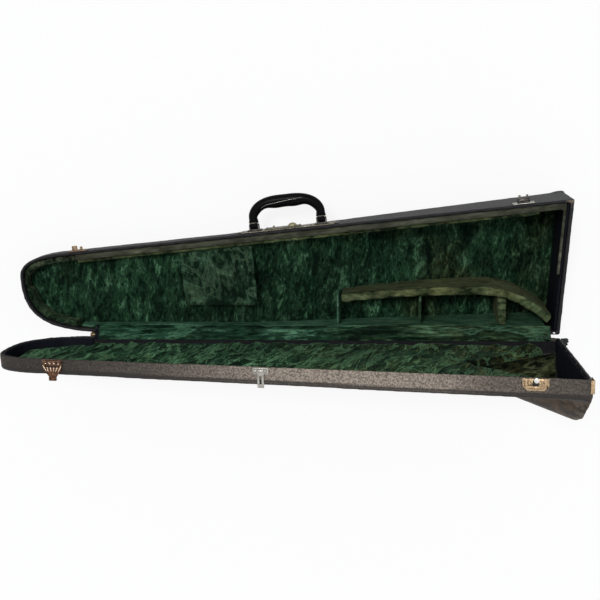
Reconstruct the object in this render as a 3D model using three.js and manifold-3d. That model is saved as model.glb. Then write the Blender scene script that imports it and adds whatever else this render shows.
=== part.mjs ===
import * as THREE from 'three';
import { mergeVertices } from 'three/addons/utils/BufferGeometryUtils.js';
import { ConvexGeometry } from 'three/addons/geometries/ConvexGeometry.js';
import Module from 'manifold-3d';

// A wooden trombone case, open, lying on its back. Millimetres.
// Inside the case x runs along the hinge side from the tip to the bell end, y runs across from the hinge
// to the handle side, and z is zero at the base's rim and grows toward the lid.

// Plan of the case
const hingeLength = 915;
const bellEndWidth = 223;
const endLeanShare = 0.077;
const tipWidth = 131.65;
const tipMiddle = 99;
const tipHandleStart = 70;
const tipHandleReach = 40;
const tipShoulder = 24;
const tipSweepDown = 75;
const tipSweepAlong = 120;
const tipHingeStart = 160;

// Depths: the base is shallow along the slide and deepens toward the bell
const baseTipDepth = 38;
const baseBellDepth = 134;
const depthKneeShare = 0.4295;
const depthKnee = depthKneeShare * hingeLength;
const lidTipDepth = 27;
const lidBellDepth = 34;
const humpLength = 170;
const humpStart = hingeLength - humpLength;
const humpRise = 64;
const openAngle = THREE.MathUtils.degToRad(92);

// Boards
const wall = 5;
const endWall = 6;
const panel = 4;
const rimGap = 0.6;
const gap = 0.3;
const cut = 1;
const beyond = 60;

// Velvet lining and the wooden pieces under it
const floorPad = 3;
const lipWidth = 10;
const lipDepth = 8.2;
const lipDrop = 0.8;
const blockWidth = 16;
const blockDrop = 9.3;
const ledgeWidth = 8.5;
const ledgeDrop = 8;
const liningStart = 100;
const ledgeShort = 22;
const blockShort = 35;
const ledgeEnd = hingeLength - ledgeShort;
const blockEnd = hingeLength - blockShort;
const tipPadWidth = 11;
const tipPadDrop = 6;
const notchWidth = 22;
const notchDepth = 7;
const notchPlace = 88;
const endLining = 4;
const endLiningDrop = 3;

// Shelf over the slide well
const bridgeStart = 274;
const bridgeLength = 126;
const bridgeLean = 14;
const bridgeHingeEdge = 46;
const bridgeDrop = 8;
const bridgeBoard = 7;
const bridgeLeg = 5;

// Curved wall round the bell, and the small compartments behind it
const partitionWidth = 15;
const partitionDrop = 5;
const partitionAlongShares = [0.608, 0.66, 0.714, 0.788, 0.86, 0.896, 0.928, 0.957, 0.983];
const partitionAcrossShares = [0.269, 0.29, 0.306, 0.32, 0.3245, 0.3055, 0.2606, 0.189, 0.104];
const boardWidth = 5;
const thinDividerBack = 228;
const thinDividerPlace = hingeLength - thinDividerBack;
const thinDividerDrop = 12;
const thickDividerBack = 94;
const thickDividerPlace = hingeLength - thickDividerBack;
const thickDividerWidth = 14;
const dividerReach = 66;

// Lid lining
const facing = 3;
const facingDrop = 1.5;
const padRoom = 11.8;
const padCrown = 3;
const padInset = 10;
const padTip = 10;
const padTipMiddle = 99;
const padTipDown = 66;
const padTipDrop = 7;
const padTipFall = 45;
const padHingeStart = 165;
const padHingeEdge = 9.6;
const padTipAlong = 50;
const padHandleStart = 80;
const padShort = 29;
const padEnd = hingeLength - padShort;
const padFold = 1.1;
const padFoldLength = 31;
const padRows = 44;
const padColumns = 10;

// Hinges, outside the hinge side
const hingeShares = [0.164, 0.5137, 0.8634];
const hingePlaces = hingeShares.map(share => share * hingeLength);
const hingeWidth = 60;
const leafHeight = 18;
const leaf = 1.2;
const barrelRadius = 2.6;
const hingePinRadius = 1.3;
const hingeOut = 3.2;
const knuckle = 20;

// Velvet strip over the hinge
const clothStart = 129;
const clothShort = 15;
const clothEnd = hingeLength - clothShort;
const cloth = 1;
const clothLift = 1.6;
const clothFoot = 7.5;
const clothReach = 5.5;

// Fittings on the handle side; heights are from the rim, reaches are from the wall
const plate = 1.5;
const handleShare = 0.5137;
const handlePlace = handleShare * hingeLength;
const handleSpan = 114;
const handlePlateLength = 170;
const handlePlateTop = 3;
const handlePlateHeight = 28;
const handleLobe = 7;
const handleDrop = 18;
const pivotReach = 9;
const pivotPin = 2;
const handleEndWidth = 12;
const handleEndRadius = 5.2;
const handleEndReach = 17;
const earWidth = 2;
const earRadius = 4.4;
const earGap = 0.5;
const bracketWidth = 24;
const bracketHeight = 18;
const bracketBase = 1.2;
const gripReach = 48;
const gripHalf = 9.2;
const gripEndHalf = 6.4;
const gripDepthHalf = 8;
const gripWave = 0.9;
const gripWaves = 4;
const gripRings = 28;
const gripSides = 14;
const gripRiseShares = [0, 0.3, 0.68, 0.92, 1, 1, 1, 0.92, 0.68, 0.3, 0];
const gripAlongShares = [-1, -1, -0.86, -0.6, -0.3, 0, 0.3, 0.6, 0.86, 1, 1];

// Lock in the middle
const lockBefore = 8;
const lockPlace = handlePlace - lockBefore;
const lockLength = 60;
const lockTop = 3.6;
const lockHeight = 19;
const lockThick = 2;
const stapleBefore = 23;
const staplePlace = handlePlace - stapleBefore;
const stapleWidth = 2.4;
const stapleHeight = 9;
const stapleReach = 7.5;
const buttonPast = 8;
const buttonPlace = handlePlace + buttonPast;
const buttonRadius = 7.5;
const buttonRise = 5;
const buttonStem = 4;
const buttonTravel = 6;

// Centre hasp on the lid
const haspBarrel = 2.2;
const haspPin = 1;
const haspReach = 4;
const centreHaspRise = 5;
const centrePlateWidth = 25;
const centrePlateHeight = 10.7;
const centrePlateDrop = 0.9;
const centreKnuckle = 4;
const strapWidth = 10.4;
const strapLength = 27.5;
const strapSlotWidth = 3.4;
const strapSlotStart = 9;
const strapSlotLength = 13;

// Left hasp on the lid and its catch on the base
const leftPlace = 104;
const leftHaspRise = 3.4;
const leftPlateWidth = 33;
const leftPlateHeight = 11;
const leftKnuckle = 6.7;
const armLength = 26.4;
const armTopWidth = 31;
const armFootWidth = 12;
const armShoulder = 2.8;
const armSlotWidth = 24;
const armSlotStart = 4.4;
const armSlotHeight = 5.4;
const armRib = 1;
const footLength = 5;
const footThick = 4;
const catchWidth = 34;
const catchShift = 2;
const catchDrop = 1;
const catchHeight = 11;
const catchBarStart = 8;
const catchBarLength = 18;
const catchBarDrop = 2.1;
const catchBarHeight = 3.2;
const catchTallWidth = 9;
const catchTallReach = 10;
const catchShortWidth = 4;
const catchShortReach = 8;

// Right latch on the base and its strike on the lid
const rightBack = 58;
const strikeBack = 59;
const rightPlace = hingeLength - rightBack;
const strikePlace = hingeLength - strikeBack;
const latchPlateWidth = 34;
const latchPlateHeight = 18;
const latchPlateDrop = 1.6;
const housingWidth = 20;
const housingHeight = 12;
const housingCheek = 2;
const housingReach = 10;
const leverReach = 6.5;
const leverDrop = 5.2;
const leverBarrel = 2.8;
const leverPin = 1.2;
const leverLength = 8.4;
const leverThick = 2.2;
const leverSlotWidth = 8.6;
const leverSlotLength = 5.9;
const strikeWidth = 38;
const strikeHeight = 18.4;
const strikeRise = 1.2;
const strikeChamfer = 7;
const strikeRidge = 1.2;
const strikeRidgeWidth = 3;
const strikeRidgeInset = 4;
const knobRise = 1.4;
const knobNeck = 2.2;
const knobNeckReach = 8.4;
const knobHead = 3.9;
const knobHeadThick = 2.6;

// Brass plate round the lid's front corner at the bell end
const cornerLeg = 17;
const cornerShortLeg = 4;
const cornerHeight = 21;
const cornerThick = 1.2;

// Looks
const looks = {
  leatherette: { color: 0x2a2a2e, roughness: 0.6 },
  lip: { color: 0x4a463c, roughness: 0.9 },
  olive: { color: 0x49552f, roughness: 0.95 },
  velvet: { color: 0x1d4a34, roughness: 1 },
  black: { color: 0x131315, roughness: 0.8 },
  brass: { color: 0xa58a4c, roughness: 0.4, metalness: 0.9 },
  nickel: { color: 0xb9b7ae, roughness: 0.3, metalness: 0.9 },
  iron: { color: 0x3a3733, roughness: 0.5, metalness: 0.7 },
  grip: { color: 0x0c0c0e, roughness: 0.2 },
};

const wasm = await Module();
wasm.setup();
const weld = 0.0005;

// Solids from closed geometries, and back

function solid(geometry) {
  const bare = geometry.clone();
  bare.deleteAttribute('normal');
  bare.deleteAttribute('uv');
  const merged = mergeVertices(bare, weld);
  return new wasm.Manifold(new wasm.Mesh({
    numProp: 3,
    vertProperties: merged.attributes.position.array,
    triVerts: Uint32Array.from(merged.index.array),
  }));
}

function add(parent, name, body, look) {
  const { vertProperties, triVerts } = body.getMesh();
  const geometry = new THREE.BufferGeometry();
  geometry.setAttribute('position', new THREE.BufferAttribute(Float32Array.from(vertProperties), 3));
  geometry.setIndex(new THREE.BufferAttribute(Uint32Array.from(triVerts), 1));
  geometry.computeVertexNormals();
  const mesh = new THREE.Mesh(geometry, new THREE.MeshStandardMaterial({ ...looks[look],
    flatShading: true }));
  mesh.name = name;
  parent.add(mesh);
  return mesh;
}

const join = (...bodies) => bodies.reduce((sum, body) => sum.add(body));

// A plan outline raised from one height to another
function raise(points, bottom, top) {
  const shape = new THREE.Shape(points);
  const geometry = new THREE.ExtrudeGeometry(shape, { depth: top - bottom, bevelEnabled: false });
  return solid(geometry.translate(0, 0, bottom));
}

// An outline in x and z, thick in y from one reach to another
function upright(points, from, to, holes = []) {
  const shape = new THREE.Shape(points);
  shape.holes = holes.map(hole => new THREE.Path(hole));
  const geometry = new THREE.ExtrudeGeometry(shape, { depth: to - from, bevelEnabled: false });
  return solid(geometry.rotateX(Math.PI / 2).translate(0, to, 0));
}

function box(x0, x1, y0, y1, z0, z1) {
  const geometry = new THREE.BoxGeometry(x1 - x0, y1 - y0, z1 - z0);
  return solid(geometry.translate((x0 + x1) / 2, (y0 + y1) / 2, (z0 + z1) / 2));
}

const rectangle = (x0, x1, z0, z1) => [[x0, z0], [x1, z0], [x1, z1], [x0, z1]].map(([x, z]) =>
  new THREE.Vector2(x, z));

// A rod along x or along y
function rodAlong(x0, x1, y, z, radius, sides = 20) {
  const geometry = new THREE.CylinderGeometry(radius, radius, x1 - x0, sides);
  return solid(geometry.rotateZ(Math.PI / 2).translate((x0 + x1) / 2, y, z));
}

function rodOut(x, y0, y1, z, radius, sides = 20) {
  const geometry = new THREE.CylinderGeometry(radius, radius, y1 - y0, sides);
  return solid(geometry.translate(x, (y0 + y1) / 2, z));
}

// A closed skin over rings that all have the same number of points
function skin(rings) {
  const count = rings[0].length;
  const points = rings.flat();
  const faces = [];
  for (let ring = 0; ring + 1 < rings.length; ring += 1) {
    for (let side = 0; side < count; side += 1) {
      const next = (side + 1) % count;
      const low = ring * count;
      const high = low + count;
      faces.push(low + side, low + next, high + next, low + side, high + next, high + side);
    }
  }
  for (let side = 1; side + 1 < count; side += 1) {
    const last = (rings.length - 1) * count;
    faces.push(0, side + 1, side, last, last + side, last + side + 1);
  }
  const geometry = new THREE.BufferGeometry().setFromPoints(points);
  geometry.setIndex(faces);
  return solid(geometry);
}

// The plan: handle side, round tip, hinge side, bell end
const farCorner = hingeLength + endLeanShare * bellEndWidth;
const taperShare = (bellEndWidth - tipWidth) / farCorner;
const handleAt = x => bellEndWidth - taperShare * (farCorner - x);
const curveSteps = 10;

function planPoints() {
  const shape = new THREE.Shape();
  shape.moveTo(farCorner, bellEndWidth);
  shape.lineTo(tipHandleStart, handleAt(tipHandleStart));
  shape.bezierCurveTo(tipHandleStart - tipHandleReach, handleAt(tipHandleStart - tipHandleReach),
    0, tipMiddle + tipShoulder, 0, tipMiddle);
  shape.bezierCurveTo(0, tipMiddle - tipSweepDown, tipHingeStart - tipSweepAlong, 0, tipHingeStart, 0);
  shape.lineTo(hingeLength, 0);
  return shape.getPoints(curveSteps);
}

const plan = planPoints();

// The plan moved inward, by one distance along the sides and another at the bell end
function planInset(side, end = side) {
  const lines = plan.map((start, index) => {
    const along = plan[(index + 1) % plan.length].clone().sub(start).normalize();
    const inward = new THREE.Vector2(-along.y, along.x);
    const distance = index === plan.length - 1 ? end : side;
    return { start: start.clone().addScaledVector(inward, distance), along };
  });
  return lines.map((line, index) => {
    const before = lines[(index + lines.length - 1) % lines.length];
    const offset = line.start.clone().sub(before.start);
    const turn = before.along.cross(line.along);
    if (Math.abs(turn) < Number.EPSILON) return line.start;
    return before.start.clone().addScaledVector(before.along, offset.cross(line.along) / turn);
  });
}

// Everything on the hinge's side of a line that runs this far inside the handle side
function shortOfHandle(inset, top = cut) {
  const points = [[-beyond, -beyond], [farCorner + beyond, -beyond],
    [farCorner + beyond, handleAt(farCorner + beyond) - inset], [-beyond, handleAt(-beyond) - inset]]
    .map(([x, y]) => new THREE.Vector2(x, y));
  return raise(points, -baseBellDepth - 2 * beyond, top);
}

// A slice of the bell end, measured back from its outer face
const lean = new THREE.Matrix4().makeShear(0, 0, endLeanShare, 0, 0, 0);

function endSlice(from, to, bottom, top) {
  const geometry = new THREE.BoxGeometry(from - to, bellEndWidth + 2 * beyond, top - bottom);
  geometry.translate(hingeLength - (from + to) / 2, bellEndWidth / 2, (top + bottom) / 2);
  return solid(geometry.applyMatrix4(lean));
}

// The base's bottom and the lid's top, moved inward
const deepening = (baseBellDepth - baseTipDepth) / (farCorner - depthKnee);
const baseDepthAt = x => baseTipDepth + deepening * Math.max(0, x - depthKnee);
const lidDepthAt = x => lidTipDepth + (lidBellDepth - lidTipDepth) * x / farCorner;
const high = humpRise + lidBellDepth + beyond;

function aboveBottom(rise, top) {
  const start = -beyond;
  const end = farCorner + beyond;
  const points = [[start, top], [start, rise - baseTipDepth], [depthKnee, rise - baseTipDepth],
    [end, rise - baseDepthAt(end)], [end, top]].map(([x, z]) => new THREE.Vector2(x, z));
  return upright(points, -beyond, bellEndWidth + beyond);
}

function belowLidTop(drop, bottom) {
  const start = -beyond;
  const end = farCorner + beyond;
  const points = [[start, bottom], [end, bottom], [end, lidDepthAt(end) - drop], [start,
    lidDepthAt(start) - drop]]
    .map(([x, z]) => new THREE.Vector2(x, z));
  return upright(points, -beyond, bellEndWidth + beyond);
}

// The half cone that makes room for the bell, moved inward
const humpHalf = bellEndWidth / 2;
const humpRadius = (humpHalf ** 2 + humpRise ** 2) / (2 * humpRise);
const humpSlope = humpRise / (hingeLength - humpStart);
const humpSteps = 16;

function hump(inset, bottom, past = 0) {
  const radius = humpRadius - inset;
  const sweep = Math.asin((humpHalf - inset) / radius);
  const centre = lidBellDepth + humpRise - humpRadius;
  const tip = new THREE.Vector3(humpStart + inset / humpSlope, handleAt(humpStart) / 2,
    lidDepthAt(humpStart));
  const foot = new THREE.Vector3(tip.x, tip.y, bottom);
  const longer = 1 + past / (hingeLength - tip.x);
  const atEnd = (from, y, z) => new THREE.Vector3(hingeLength + endLeanShare * y, y, z)
    .sub(from).multiplyScalar(longer).add(from);
  const points = [tip, foot, atEnd(foot, inset, bottom), atEnd(foot, bellEndWidth - inset, bottom)];
  for (let step = 0; step <= humpSteps; step += 1) {
    const angle = sweep * (2 * step / humpSteps - 1);
    points.push(atEnd(tip, humpHalf + radius * Math.sin(angle), centre + radius * Math.cos(angle)));
  }
  return solid(new ConvexGeometry(points));
}

// Groups: the base, and the lid turned back about its hinges
const stand = new THREE.Group();
const base = new THREE.Group();
const lidHinge = new THREE.Group();
const lid = new THREE.Group();
stand.add(base, lidHinge);
lidHinge.position.set(0, -hingeOut, rimGap / 2);
lidHinge.rotation.x = openAngle;
lidHinge.add(lid);
lid.position.set(0, hingeOut, -rimGap / 2);

const sideOf = parent => {
  const side = new THREE.Group();
  side.position.y = handleAt(0);
  side.rotation.z = Math.atan(taperShare);
  parent.add(side);
  return side;
};
const baseSide = sideOf(base);
const lidSide = sideOf(lid);

// Base shell
const deepest = -baseBellDepth - beyond;
const lined = wall + gap;
const linedEnd = endWall + gap;

const ring = (outer, inner, bottom, top) =>
  raise(planInset(outer), bottom, top).subtract(raise(planInset(inner), bottom - cut, top + cut));

add(base, 'base_side_wall', ring(0, wall, deepest, 0).intersect(aboveBottom(0, cut))
  .subtract(endSlice(linedEnd, -cut, deepest - cut, cut)), 'leatherette');
add(base, 'base_end_wall', raise(plan, deepest, 0).intersect(endSlice(endWall, -cut, deepest - cut, cut))
  .intersect(aboveBottom(0, cut)), 'leatherette');
add(base, 'base_back_panel', raise(planInset(lined, linedEnd), deepest, 0).intersect(aboveBottom(0, cut))
  .subtract(aboveBottom(panel, cut)), 'leatherette');

// Base lining
const padTop = panel + gap + floorPad;
const liningFoot = padTop + gap;
const inside = (side, end, drop) => raise(planInset(side, end), deepest, -drop)
  .intersect(aboveBottom(liningFoot, cut));

add(base, 'floor_pad', raise(planInset(lined, linedEnd), deepest, 0).intersect(aboveBottom(panel + gap, cut))
  .subtract(aboveBottom(padTop, cut)), 'velvet');

const endLined = linedEnd + endLining + gap;
const endFace = inside(lined, linedEnd, endLiningDrop).intersect(endSlice(linedEnd + endLining, 0,
  deepest, cut));
add(base, 'base_end_lining', endFace, 'black');

const handleHalf = box(liningStart, farCorner + beyond, tipMiddle, bellEndWidth, deepest, cut);
const block = inside(lined, linedEnd, blockDrop).intersect(handleHalf)
  .subtract(shortOfHandle(lined + blockWidth))
  .subtract(box(blockEnd, farCorner + beyond, 0, bellEndWidth, deepest, cut));
add(base, 'handle_side_block', block, 'olive');

const lip = ring(lined, lined + lipWidth, -lipDrop - lipDepth, -lipDrop).intersect(handleHalf)
  .subtract(endSlice(endLined, -cut, deepest, cut));
add(base, 'base_rim_lip', lip, 'lip');

const hingeHalf = box(liningStart, ledgeEnd, 0, ledgeWidth + lined, deepest, cut);
const ledge = inside(lined, linedEnd, ledgeDrop).intersect(hingeHalf)
  .subtract(raise(planInset(lined + ledgeWidth), deepest - cut, cut));
add(base, 'hinge_side_ledge', ledge, 'velvet');

const tipPad = inside(lined, linedEnd, tipPadDrop)
  .subtract(raise(planInset(lined + tipPadWidth), deepest - cut, cut))
  .subtract(box(liningStart - gap, farCorner + beyond, -cut, bellEndWidth, deepest, cut))
  .subtract(box(lined + tipPadWidth - notchDepth, liningStart, notchPlace - notchWidth / 2,
    notchPlace + notchWidth / 2, deepest, cut));
add(base, 'tip_pad', tipPad, 'velvet');

// Shelf: a board on two legs, so that the slide passes under it
const bridgePlan = [[bridgeStart + bridgeLean, bridgeHingeEdge],
  [bridgeStart + bridgeLean + bridgeLength, bridgeHingeEdge],
  [bridgeStart + bridgeLength, bellEndWidth], [bridgeStart, bellEndWidth]]
  .map(([x, y]) => new THREE.Vector2(x, y));
const bridgeFit = lined + blockWidth + gap;
const tunnel = box(bridgeStart - beyond, bridgeStart + bridgeLength + beyond, bridgeHingeEdge + bridgeLeg,
  bellEndWidth, deepest, -bridgeDrop - bridgeBoard)
  .intersect(shortOfHandle(bridgeFit + bridgeLeg));
const bridge = raise(bridgePlan, deepest, -bridgeDrop).intersect(shortOfHandle(bridgeFit))
  .intersect(aboveBottom(liningFoot, cut)).subtract(tunnel);
add(base, 'slide_bridge', bridge, 'velvet');

// Curved wall and small boards
const partitionLine = new THREE.CatmullRomCurve3(partitionAlongShares.map((share, index) =>
  new THREE.Vector3(share * hingeLength, partitionAcrossShares[index] * bellEndWidth, 0)));
const partitionSteps = 24;

function partitionPlan(width) {
  const near = [];
  const far = [];
  for (let step = 0; step <= partitionSteps; step += 1) {
    const point = partitionLine.getPoint(step / partitionSteps);
    const along = partitionLine.getTangent(step / partitionSteps);
    near.push(new THREE.Vector2(point.x + along.y * width / 2, point.y - along.x * width / 2));
    far.unshift(new THREE.Vector2(point.x - along.y * width / 2, point.y + along.x * width / 2));
  }
  return near.concat(far);
}

const partition = raise(partitionPlan(partitionWidth), deepest, -partitionDrop)
  .intersect(aboveBottom(liningFoot, cut));
add(base, 'bell_partition', partition, 'olive');

const partitionRoom = raise(partitionPlan(partitionWidth + 2 * gap), deepest - cut, cut);
const boardEdge = lined + ledgeWidth + gap;

function board(name, place, width, reach, drop, look) {
  const body = box(place - width / 2, place + width / 2, boardEdge, reach, deepest, -drop)
    .intersect(aboveBottom(liningFoot, cut)).subtract(partitionRoom);
  add(base, name, body, look);
}

const partitionStart = partitionLine.getPoint(0);
board('accessory_end_board', partitionStart.x - boardWidth / 2 - 2 * gap - partitionWidth / 4, boardWidth,
  partitionStart.y + partitionWidth / 2, ledgeDrop, 'olive');
board('thin_divider', thinDividerPlace, boardWidth, dividerReach, thinDividerDrop, 'velvet');
board('thick_divider', thickDividerPlace, thickDividerWidth, dividerReach, partitionDrop + gap, 'olive');

// Lid shell
const underPanel = panel + gap;
const lidSideWall = ring(0, wall, rimGap, high).intersect(belowLidTop(underPanel, 0))
  .subtract(endSlice(linedEnd, -cut, 0, high));
add(lid, 'lid_side_wall', lidSideWall, 'leatherette');

const lidEndRoom = drop => raise(plan, rimGap, high).intersect(belowLidTop(drop, 0))
  .add(hump(drop, lidTipDepth - underPanel, cut));
add(lid, 'lid_end_wall', lidEndRoom(underPanel).intersect(endSlice(endWall, 0, 0, high)), 'leatherette');

const lidPanel = raise(plan, 0, high).intersect(belowLidTop(0, 0)).subtract(belowLidTop(panel, -cut))
  .add(hump(0, lidBellDepth - 3 * panel / 4)).subtract(hump(panel, 0, cut));
add(lid, 'lid_panel', lidPanel, 'leatherette');

// Lid lining
const facingRing = ring(lined, lined + facing, facingDrop, high).intersect(belowLidTop(underPanel + gap, 0))
  .subtract(box(clothStart - 2 * gap, farCorner, -cut, padHingeEdge, 0, high))
  .subtract(endSlice(linedEnd + facing + gap, -cut, 0, high));
add(lid, 'lid_facing', facingRing, 'black');

const humpCloth = panel + gap + facing;
const lidEndLining = raise(planInset(lined), facingDrop, high)
  .intersect(lidEndRoom(humpCloth + gap)).intersect(endSlice(linedEnd + facing, linedEnd, 0, high));
add(lid, 'lid_end_lining', lidEndLining, 'black');

const humpLining = hump(panel + gap, lidTipDepth - underPanel).subtract(hump(humpCloth, -cut, cut))
  .subtract(endSlice(linedEnd + facing + gap, -2 * cut, 0, high));
add(lid, 'lid_hump_lining', humpLining, 'velvet');

// Crushed velvet pad: a crown with shallow folds across it
function padEdge() {
  const shape = new THREE.Shape();
  shape.moveTo(padEnd, padHingeEdge);
  shape.lineTo(padHingeStart, padHingeEdge);
  shape.bezierCurveTo(padTipAlong, padHingeEdge, padTip, padTipMiddle - padTipDown, padTip, padTipMiddle);
  return shape.getPoints(curveSteps * 2);
}

function padPlan() {
  const low = padEdge();
  const shape = new THREE.Shape();
  shape.moveTo(padTip, padTipMiddle);
  shape.quadraticCurveTo(padTip, handleAt(padTip) - padInset, padHandleStart,
    handleAt(padHandleStart) - padInset);
  shape.lineTo(padEnd, handleAt(padEnd) - padInset);
  return { low, up: shape.getPoints(curveSteps) };
}

function across(points, x) {
  for (let index = 0; index + 1 < points.length; index += 1) {
    const [a, b] = [points[index], points[index + 1]];
    if ((a.x - x) * (b.x - x) <= 0 && a.x !== b.x) return a.y + (b.y - a.y) * (x - a.x) / (b.x - a.x);
  }
  return points[0].y;
}

const padSides = padPlan();
const padRings = [];
for (let row = 0; row <= padRows; row += 1) {
  const share = row / padRows;
  const x = padTip + padCrown + (padEnd - padTip - padCrown) * share;
  const low = across(padSides.low, x);
  const up = across(padSides.up, x);
  const back = lidDepthAt(x) - underPanel;
  const ends = Math.min(1, Math.min(x - padTip, padEnd + padCrown - x) / (padRoom + padCrown));
  const fall = padTipDrop * (1 - Math.min(1, (x - padTip) / padTipFall)) ** 2;
  const points = [];
  for (let column = 0; column <= padColumns; column += 1) {
    const place = column / padColumns;
    const crown = padCrown * (1 - (2 * place - 1) ** 4) * ends;
    const folds = padFold * ends * Math.sin(x / padFoldLength * Math.PI + 3 * Math.sin(place * Math.PI * 2))
      * Math.sin(place * Math.PI);
    points.push(new THREE.Vector3(x, low + (up - low) * place, padRoom + padCrown + fall - crown - folds));
  }
  points.push(new THREE.Vector3(x, up, back), new THREE.Vector3(x, low, back));
  padRings.push(points);
}
const pad = skin(padRings).subtract(hump(panel - gap, -cut, cut));
add(lid, 'lid_pad', pad, 'velvet');

// Butt hinges: each leaf's knuckles take turns on the pin
const axis = rimGap / 2;

function leafBody(place, up, spans) {
  const face = up ? [barrelRadius + axis + gap, leafHeight] : [-leafHeight, axis - barrelRadius - gap];
  let body = box(place - hingeWidth / 2, place + hingeWidth / 2, -gap - leaf, -gap, ...face);
  for (const [from, to] of spans) {
    const tab = up ? [axis, face[0] + cut] : [face[1] - cut, axis];
    body = join(body, box(from, to, -gap - leaf, -gap, ...tab),
      rodAlong(from, to, -hingeOut, axis, barrelRadius));
  }
  return body.subtract(rodAlong(place - hingeWidth, place + hingeWidth, -hingeOut, axis,
    hingePinRadius + gap));
}

hingePlaces.forEach((place, index) => {
  const start = place - hingeWidth / 2;
  const end = place + hingeWidth / 2;
  const ends = [[start, start + knuckle - gap], [end - knuckle + gap, end]];
  const middle = [[start + knuckle, end - knuckle]];
  add(base, `hinge_base_leaf_${index + 1}`, leafBody(place, false, ends), 'brass');
  add(lid, `hinge_lid_leaf_${index + 1}`, leafBody(place, true, middle), 'brass');
  add(base, `hinge_pin_${index + 1}`, rodAlong(start, end, -hingeOut, axis, hingePinRadius), 'iron');
});

// Velvet strip from the ledge over both rims to the lid's inner face, drawn at the open angle
function clothPath() {
  const lift = clothLift + cloth / 2;
  const turned = (y, z) => {
    const point = new THREE.Vector2(y + hingeOut, z - axis).rotateAround(new THREE.Vector2(), openAngle);
    return new THREE.Vector2(point.x - hingeOut, point.y + axis);
  };
  return [
    new THREE.Vector2(lined + clothFoot, -ledgeDrop + gap + cloth / 2),
    new THREE.Vector2(wall + lift + cloth / 2, -ledgeDrop + gap + cloth / 2),
    new THREE.Vector2(wall + lift, -ledgeDrop + gap + cloth * 2),
    new THREE.Vector2(wall + lift, 0),
    new THREE.Vector2(wall + cloth / 2, lift),
    new THREE.Vector2(wall / 4, lift),
    turned(wall / 4, rimGap - lift),
    turned(wall + cloth / 2, rimGap - lift),
    turned(wall + lift, rimGap),
    turned(wall + lift, clothReach),
  ];
}

function band(path, thickness) {
  const sides = [[], []];
  path.forEach((point, index) => {
    const before = path[Math.max(0, index - 1)];
    const after = path[Math.min(path.length - 1, index + 1)];
    const along = after.clone().sub(before).normalize();
    const normal = new THREE.Vector2(-along.y, along.x).multiplyScalar(thickness / 2);
    sides[0].push(point.clone().add(normal));
    sides[1].unshift(point.clone().sub(normal));
  });
  return sides.flat();
}

const clothShape = new THREE.Shape(band(clothPath(), cloth));
const clothBody = new THREE.ExtrudeGeometry(clothShape, { depth: clothEnd - clothStart,
  bevelEnabled: false });
clothBody.rotateY(Math.PI / 2).rotateX(Math.PI / 2).translate(clothStart, 0, 0);
add(base, 'hinge_cloth', solid(clothBody), 'velvet');

// Handle: plate, two brackets with pins, and the grip on its two end pieces
const onWall = gap;
const onPlate = onWall + plate + gap;
const plateMiddle = -handlePlateTop - handlePlateHeight / 2;

function platePoints() {
  const half = handlePlateLength / 2;
  const tall = handlePlateHeight / 2;
  const shape = new THREE.Shape();
  shape.moveTo(-half + handleLobe, -tall);
  shape.lineTo(half - handleLobe, -tall);
  shape.quadraticCurveTo(half - handleLobe, -tall / 2, half, -handleLobe / 2);
  shape.quadraticCurveTo(half + handleLobe / 2, 0, half, handleLobe / 2);
  shape.quadraticCurveTo(half - handleLobe, tall / 2, half - handleLobe, tall);
  shape.lineTo(-half + handleLobe, tall);
  shape.quadraticCurveTo(-half + handleLobe, tall / 2, -half, handleLobe / 2);
  shape.quadraticCurveTo(-half - handleLobe / 2, 0, -half, -handleLobe / 2);
  shape.quadraticCurveTo(-half + handleLobe, -tall / 2, -half + handleLobe, -tall);
  return shape.getPoints(4).slice(0, -1).map(point => new THREE.Vector2(point.x + handlePlace,
    point.y + plateMiddle));
}

add(baseSide, 'handle_plate', upright(platePoints(), onWall, onWall + plate), 'brass');

const footPlaces = { left: handlePlace - handleSpan / 2, right: handlePlace + handleSpan / 2 };
const earInner = handleEndWidth / 2 + earGap;
const bracketFace = onPlate + bracketBase;

for (const [side, place] of Object.entries(footPlaces)) {
  let bracket = box(place - bracketWidth / 2, place + bracketWidth / 2, onPlate, bracketFace,
    -handleDrop - bracketHeight / 2, -handleDrop + bracketHeight / 2);
  for (const from of [place - earInner - earWidth, place + earInner]) {
    bracket = join(bracket, rodAlong(from, from + earWidth, pivotReach, -handleDrop, earRadius),
      box(from, from + earWidth, onPlate, pivotReach, -handleDrop - earRadius, -handleDrop + earRadius));
  }
  const hole = rodAlong(place - bracketWidth, place + bracketWidth, pivotReach, -handleDrop, pivotPin + gap);
  add(baseSide, `handle_bracket_${side}`, bracket.subtract(hole), 'nickel');
  add(baseSide, `handle_pin_${side}`, rodAlong(place - earInner - earWidth, place + earInner + earWidth,
    pivotReach, -handleDrop, pivotPin), 'iron');
  const half = handleEndWidth / 2;
  const end = join(rodAlong(place - half, place + half, pivotReach, -handleDrop, handleEndRadius),
    box(place - half, place + half, pivotReach, handleEndReach, -handleDrop - handleEndRadius,
      -handleDrop + handleEndRadius)).subtract(hole);
  add(baseSide, `handle_end_${side}`, end, 'nickel');
}

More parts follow.
